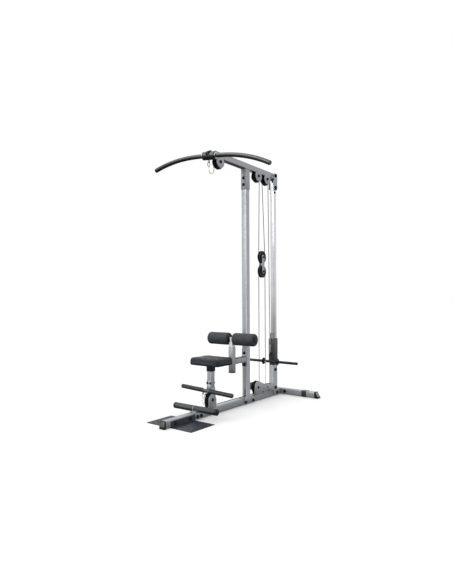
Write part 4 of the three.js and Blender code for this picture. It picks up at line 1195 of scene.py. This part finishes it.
def apply_modifiers(piece):
    bpy.context.view_layer.update()
    shown = piece.evaluated_get(bpy.context.evaluated_depsgraph_get())
    mesh = bpy.data.meshes.new_from_object(shown)
    piece.modifiers.clear()
    piece.data = mesh


def settle_in_box(mesh, low, high, floor):
    """Adds soft creases, crowns the top and keeps every point inside the pad's space."""
    centre = (low + high) / 2
    half = (high - low) / 2
    for vertex in mesh.vertices:
        co = vertex.co
        u, v = (co.x - centre.x) / half.x, (co.y - centre.y) / half.y
        if co.z > centre.z:
            co.z += 0.0022 * (1 - u * u) * (1 - v * v)
            co.z += 0.0006 * noise.noise(Vector((co.x * 14, co.y * 14, 3.1)))
        corner = max(0.0, abs(u) + abs(v) - 1.45)
        if corner and co.z < high.z - 0.012:
            swirl = math.atan2(abs(v), abs(u))
            pull = 0.0022 * corner * max(0.0, math.cos(swirl * 26))
            co.x -= math.copysign(pull, u)
            co.y -= math.copysign(pull, v)
        co.x = min(max(co.x, low.x), high.x)
        co.y = min(max(co.y, low.y), high.y)
        co.z = min(max(co.z, floor - 0.004), high.z)


def seam_line(mesh, centre, half_x, half_y, z):
    """Points on the cushion's side at height z, found by looking in from outside."""
    tree = BVHTree.FromPolygons([v.co for v in mesh.vertices], [p.vertices for p in mesh.polygons])
    outline = rounded_outline(half_x + 0.03, half_y + 0.03, 0.06, 10)
    points = []
    for p in resample(outline, 170, closed=True):
        start = Vector((centre.x + p.x, centre.y + p.y, z))
        inner = Vector((
            centre.x + max(min(p.x, half_x - 0.05), 0.05 - half_x),
            centre.y + max(min(p.y, half_y - 0.05), 0.05 - half_y), z,
        ))
        hit = tree.ray_cast(start, (inner - start).normalized())[0]
        if hit:
            points.append(hit)
    return points


def pinch(mesh, seam, reach, depth, centre):
    """Draws the cover in along a seam."""
    for vertex in mesh.vertices:
        near = min((vertex.co - p).length for p in seam)
        if near < reach:
            inward = Vector((centre.x - vertex.co.x, centre.y - vertex.co.y, 0)).normalized()
            vertex.co += inward * depth * (1 - near / reach) ** 2


def stitches(seam, length, name, body):
    """Short thread stitches laid along a closed seam."""
    total = sum((b - a).length for a, b in zip(seam, seam[1:] + seam[:1]))
    stops = resample(seam, int(total / length), closed=True)
    shape = Shape()
    for a, b in zip(stops, stops[1:] + stops[:1]):
        line = [a.lerp(b, t) for t in (0.12, 0.3, 0.5, 0.7, 0.88)]
        shape.sweep(line, [0.0002, 0.0005, 0.0006, 0.0005, 0.0002], 6)
    shape.piece(name, "stitch_thread", body)


def build_knee_hold():
    dress("knee_arm", "frame", "frame_paint")
    dress("knee_post", "knee_hold", "chrome")
    pull_pin("knee_pin")
    shape = Shape()
    plate_y = MAST.y - 0.0257 - 0.004
    for z in (0.437, 0.338):
        shape.through((0, plate_y, z), (0, MAST.y + 0.0254, z))
    shape.piece("knee_arm_bolts", "black_steel", "frame", angle=25)
    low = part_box("knee_arm")[0]
    holder_y = middle("knee_post").y
    strip = Shape().block((-0.0205, holder_y + 0.0232, 0.4024), (0.0205, plate_y - 0.0004, 0.4105), 0.0016)
    strip.piece("knee_arm_strip", "black_rubber", "frame")
    plug = Shape()
    plug.block((-0.0185, holder_y - 0.0185, low.z - 0.001), (0.0185, holder_y + 0.0185, low.z + 0.012), 0.002)
    plug.block(
        (-0.0222, holder_y - 0.0222, low.z - 0.009), (0.0222, holder_y + 0.0222, low.z - 0.0002), 0.002,
    )
    plug.piece("knee_holder_plug", "black_steel", "frame")
    post_low, post_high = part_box("knee_post")
    for side, sign in SIDES:
        knee_roller(side, sign)
        dome = [(0.0226, -0.0028), (0.0238, -0.0028), (0.0240, 0.0002), (0.0225, 0.0016), (0.010, 0.0026)]
        dome += [(0, 0.0028), (0, 0.0001), (0.0226, 0.0001), (0.0226, -0.0028)]
        end = Vector((post_high.x if sign > 0 else post_low.x, middle(f"knee_roller_{side}").y, 0.570))
        Shape().turn(dome, end, (sign, 0, 0), 40).piece(f"knee_axle_cap_{side}", "black_plastic", "knee_hold")


def knee_roller(side, sign):
    """A foam roller with soft shoulders, and a plastic hub cap in each end."""
    node = f"knee_roller_{side}"
    low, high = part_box(node)
    centre = (low + high) / 2
    radius = (high.z - low.z) / 2
    inner, outer = (low.x, high.x) if sign > 0 else (-high.x, -low.x)
    foot = Vector((0, centre.y, centre.z))
    bore, edge = 0.0086, 0.014
    profile = [(bore, inner + 0.002), (0.022, inner + 0.002), (0.026, inner + 0.001), (radius - edge, inner)]
    profile += [
        (radius - edge + edge * math.sin(a), inner + edge - edge * math.cos(a))
        for a in (math.radians(15 * i) for i in range(1, 7))
    ]
    steps = 26
    profile += [(radius, inner + edge + (outer - inner - 2 * edge) * i / steps) for i in range(1, steps)]
    profile += [
        (radius - edge + edge * math.cos(a), outer - edge + edge * math.sin(a))
        for a in (math.radians(15 * i) for i in range(0, 6))
    ]
    profile += [(radius - edge, outer), (0.026, outer - 0.001), (0.022, outer - 0.002), (bore, outer - 0.002)]
    shape = Shape().turn(profile + [profile[0]], foot, (sign, 0, 0), 72)
    for vertex in shape.bm.verts:
        away = Vector((0, vertex.co.y - foot.y, vertex.co.z - foot.z))
        if away.length > radius * 0.6:
            vertex.co -= away.normalized() * 0.0005 * (1 + noise.noise(vertex.co * 22))
    foam = shape.piece(f"{node}_foam", "roller_foam", node, node, angle=50)
    caps = Shape()
    for face, way in ((outer - 0.0018, 1), (inner + 0.0018, -1)):
        rim = [(bore, 0), (0.0205, 0), (0.0212, 0.0005), (0.0205, 0.0015), (0.012, 0.0012), (bore, 0.0012)]
        rim.append(rim[0])
        caps.turn([(r, face + way * h) for r, h in rim], foot, (sign, 0, 0), 40)
    caps.piece(f"{node}_caps", "black_plastic", node)


def foot_brace():
    """A steel tube on a bolted saddle, with a rubber sleeve each side of a steel collar."""
    low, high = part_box("foot_brace")
    axle = Vector((0, MAST.y - 0.663, 0.0786))
    half, radius = 0.211, 0.0233
    core = [(0, -half + 0.004), (0.0189, -half + 0.004), (0.0189, half - 0.004), (0, half - 0.004)]
    Shape().turn(core, axle, segments=40).piece("foot_brace_tube", "zinc_steel", "frame", "foot_brace")
    seam = -0.010
    collar = [(0.0190, -0.0025), (radius, -0.0025), (radius, 0.0025), (0.0190, 0.0025), (0.0190, -0.0025)]
    ring = Shape().turn(collar, axle + Vector((seam, 0, 0)), segments=48)
    ring.piece("foot_brace_collar", "frame_paint", "frame")
    for side, sign in SIDES:
        bore, start, end = 0.0190, sign * seam + 0.0028, half
        profile = [(bore, start), (radius - 0.002, start), (radius, start + 0.002)]
        profile += grooves(radius, start + 0.010, end - 0.020, 30, 0.3)
        profile += [(radius, end - 0.0185), (radius - 0.001, end - 0.018), (bore, end - 0.018), (bore, start)]
        shape = Shape().turn(profile, axle, (sign, 0, 0), 48)
        shape.piece(f"foot_brace_sleeve_{side}", "black_rubber", "frame")
        cap = [(bore, end - 0.0176), (radius, end - 0.0176), (radius, end - 0.004),
               (radius - 0.0015, end - 0.001), (radius - 0.004, end), (0, end), (0, end - 0.004)]
        cap += [(bore, end - 0.0042), (bore, end - 0.0176)]
        Shape().turn(cap, axle, (sign, 0, 0), 48).piece(f"foot_brace_cap_{side}", "black_plastic", "frame")
    saddle = Shape()
    inner, outer = 0.0257, 0.0297
    saddle.block((-outer, low.y, 0.0551), (outer, high.y, 0.0591), 0.0008)
    for sign in (1, -1):
        x0, x1 = sorted((sign * inner, sign * outer))
        saddle.block((x0, low.y, low.z), (x1, high.y, 0.0585), 0.0008)
    for side in (-1, 1):
        weld(saddle, [Vector((x * 0.001, axle.y + side * 0.0145, 0.0600)) for x in range(-24, 25, 4)], 0.0018)
    saddle.piece("foot_brace_saddle", "frame_paint", "frame")


# ---- floor, light and camera -----------------------------------------------

def add_stage():
    """A pale floor in a white studio, darker from below and where a flag faces the machine's corner."""
    SCENE.view_settings.view_transform = "Standard"
    bpy.ops.mesh.primitive_plane_add(size=60, location=(0, 0, -0.0005))
    floor = bpy.context.object
    floor.name = "floor"
    floor.data.materials.append(LOOKS["pale_floor"])
    floor.visible_diffuse = floor.visible_glossy = False
    world = bpy.data.worlds.new("studio")
    SCENE.world = world
    world.use_nodes = True
    tree = Tree(world.node_tree)
    direction = tree.node("TexCoord").outputs["Generated"]
    height = tree.node("SeparateXYZ", {0: direction}).outputs["Z"]
    level = tree.spread(height, 0.06, 0.80, (-0.45, 0.02))
    flag = tree.spread(tree.dot(direction, (0.61, -0.79, 0)), 1.0, 0.30, (0.80, 0.97))
    camera_ray = tree.node("LightPath").outputs["Is Camera Ray"]
    seen = tree.node("Mix", {"Factor": camera_ray, 2: tree.math("MULTIPLY", level, flag), 3: 1.0})
    background = tree.nodes["Background"]
    tree.feed(background.inputs["Strength"], seen.outputs[0])
    tree.feed(background.inputs["Color"], (1.0, 1.0, 1.0, 1))
    add_light("SUN", "key_light", (-0.4, -4.5, 3.6), 1.45, angle=math.radians(40))
    add_light("AREA", "top_light", (-0.6, -0.8, 3.8), 12, size=1.8)
    add_light("AREA", "back_light", (-2.4, 3.0, 3.0), 14, size=2.2)


def add_light(kind, name, place, energy, **settings):
    data = bpy.data.lights.new(name, kind)
    data.energy = energy
    for key, value in settings.items():
        setattr(data, key, value)
    light = bpy.data.objects.new(name, data)
    light.location = place
    light.rotation_euler = (Vector((0, 0, 0.9)) - Vector(place)).to_track_quat("-Z", "Y").to_euler()
    SCENE.collection.objects.link(light)


def add_camera():
    turn, tip, roll = math.radians(37.58), math.radians(0.90), math.radians(-0.22)
    data = bpy.data.cameras.new("camera")
    data.sensor_width = 36
    data.lens = 28.89
    data.clip_end = 100
    camera = bpy.data.objects.new("camera", data)
    SCENE.collection.objects.link(camera)
    camera.location = (2.3388, -3.1022, 0.8983)
    ahead = Vector((-math.sin(turn) * math.cos(tip), math.cos(turn) * math.cos(tip), math.sin(tip)))
    look = ahead.to_track_quat("-Z", "Y").to_matrix().to_4x4() @ Matrix.Rotation(roll, 4, "Z")
    camera.rotation_euler = look.to_euler()
    SCENE.camera = camera


add_camera()
build_cables()
build_base()
build_mast()
build_pulleys()
build_carriage()
build_lat_bar()
build_row_bar()
build_seat()
build_knee_hold()
foot_brace()
add_stage()

bpy.context.view_layer.update()
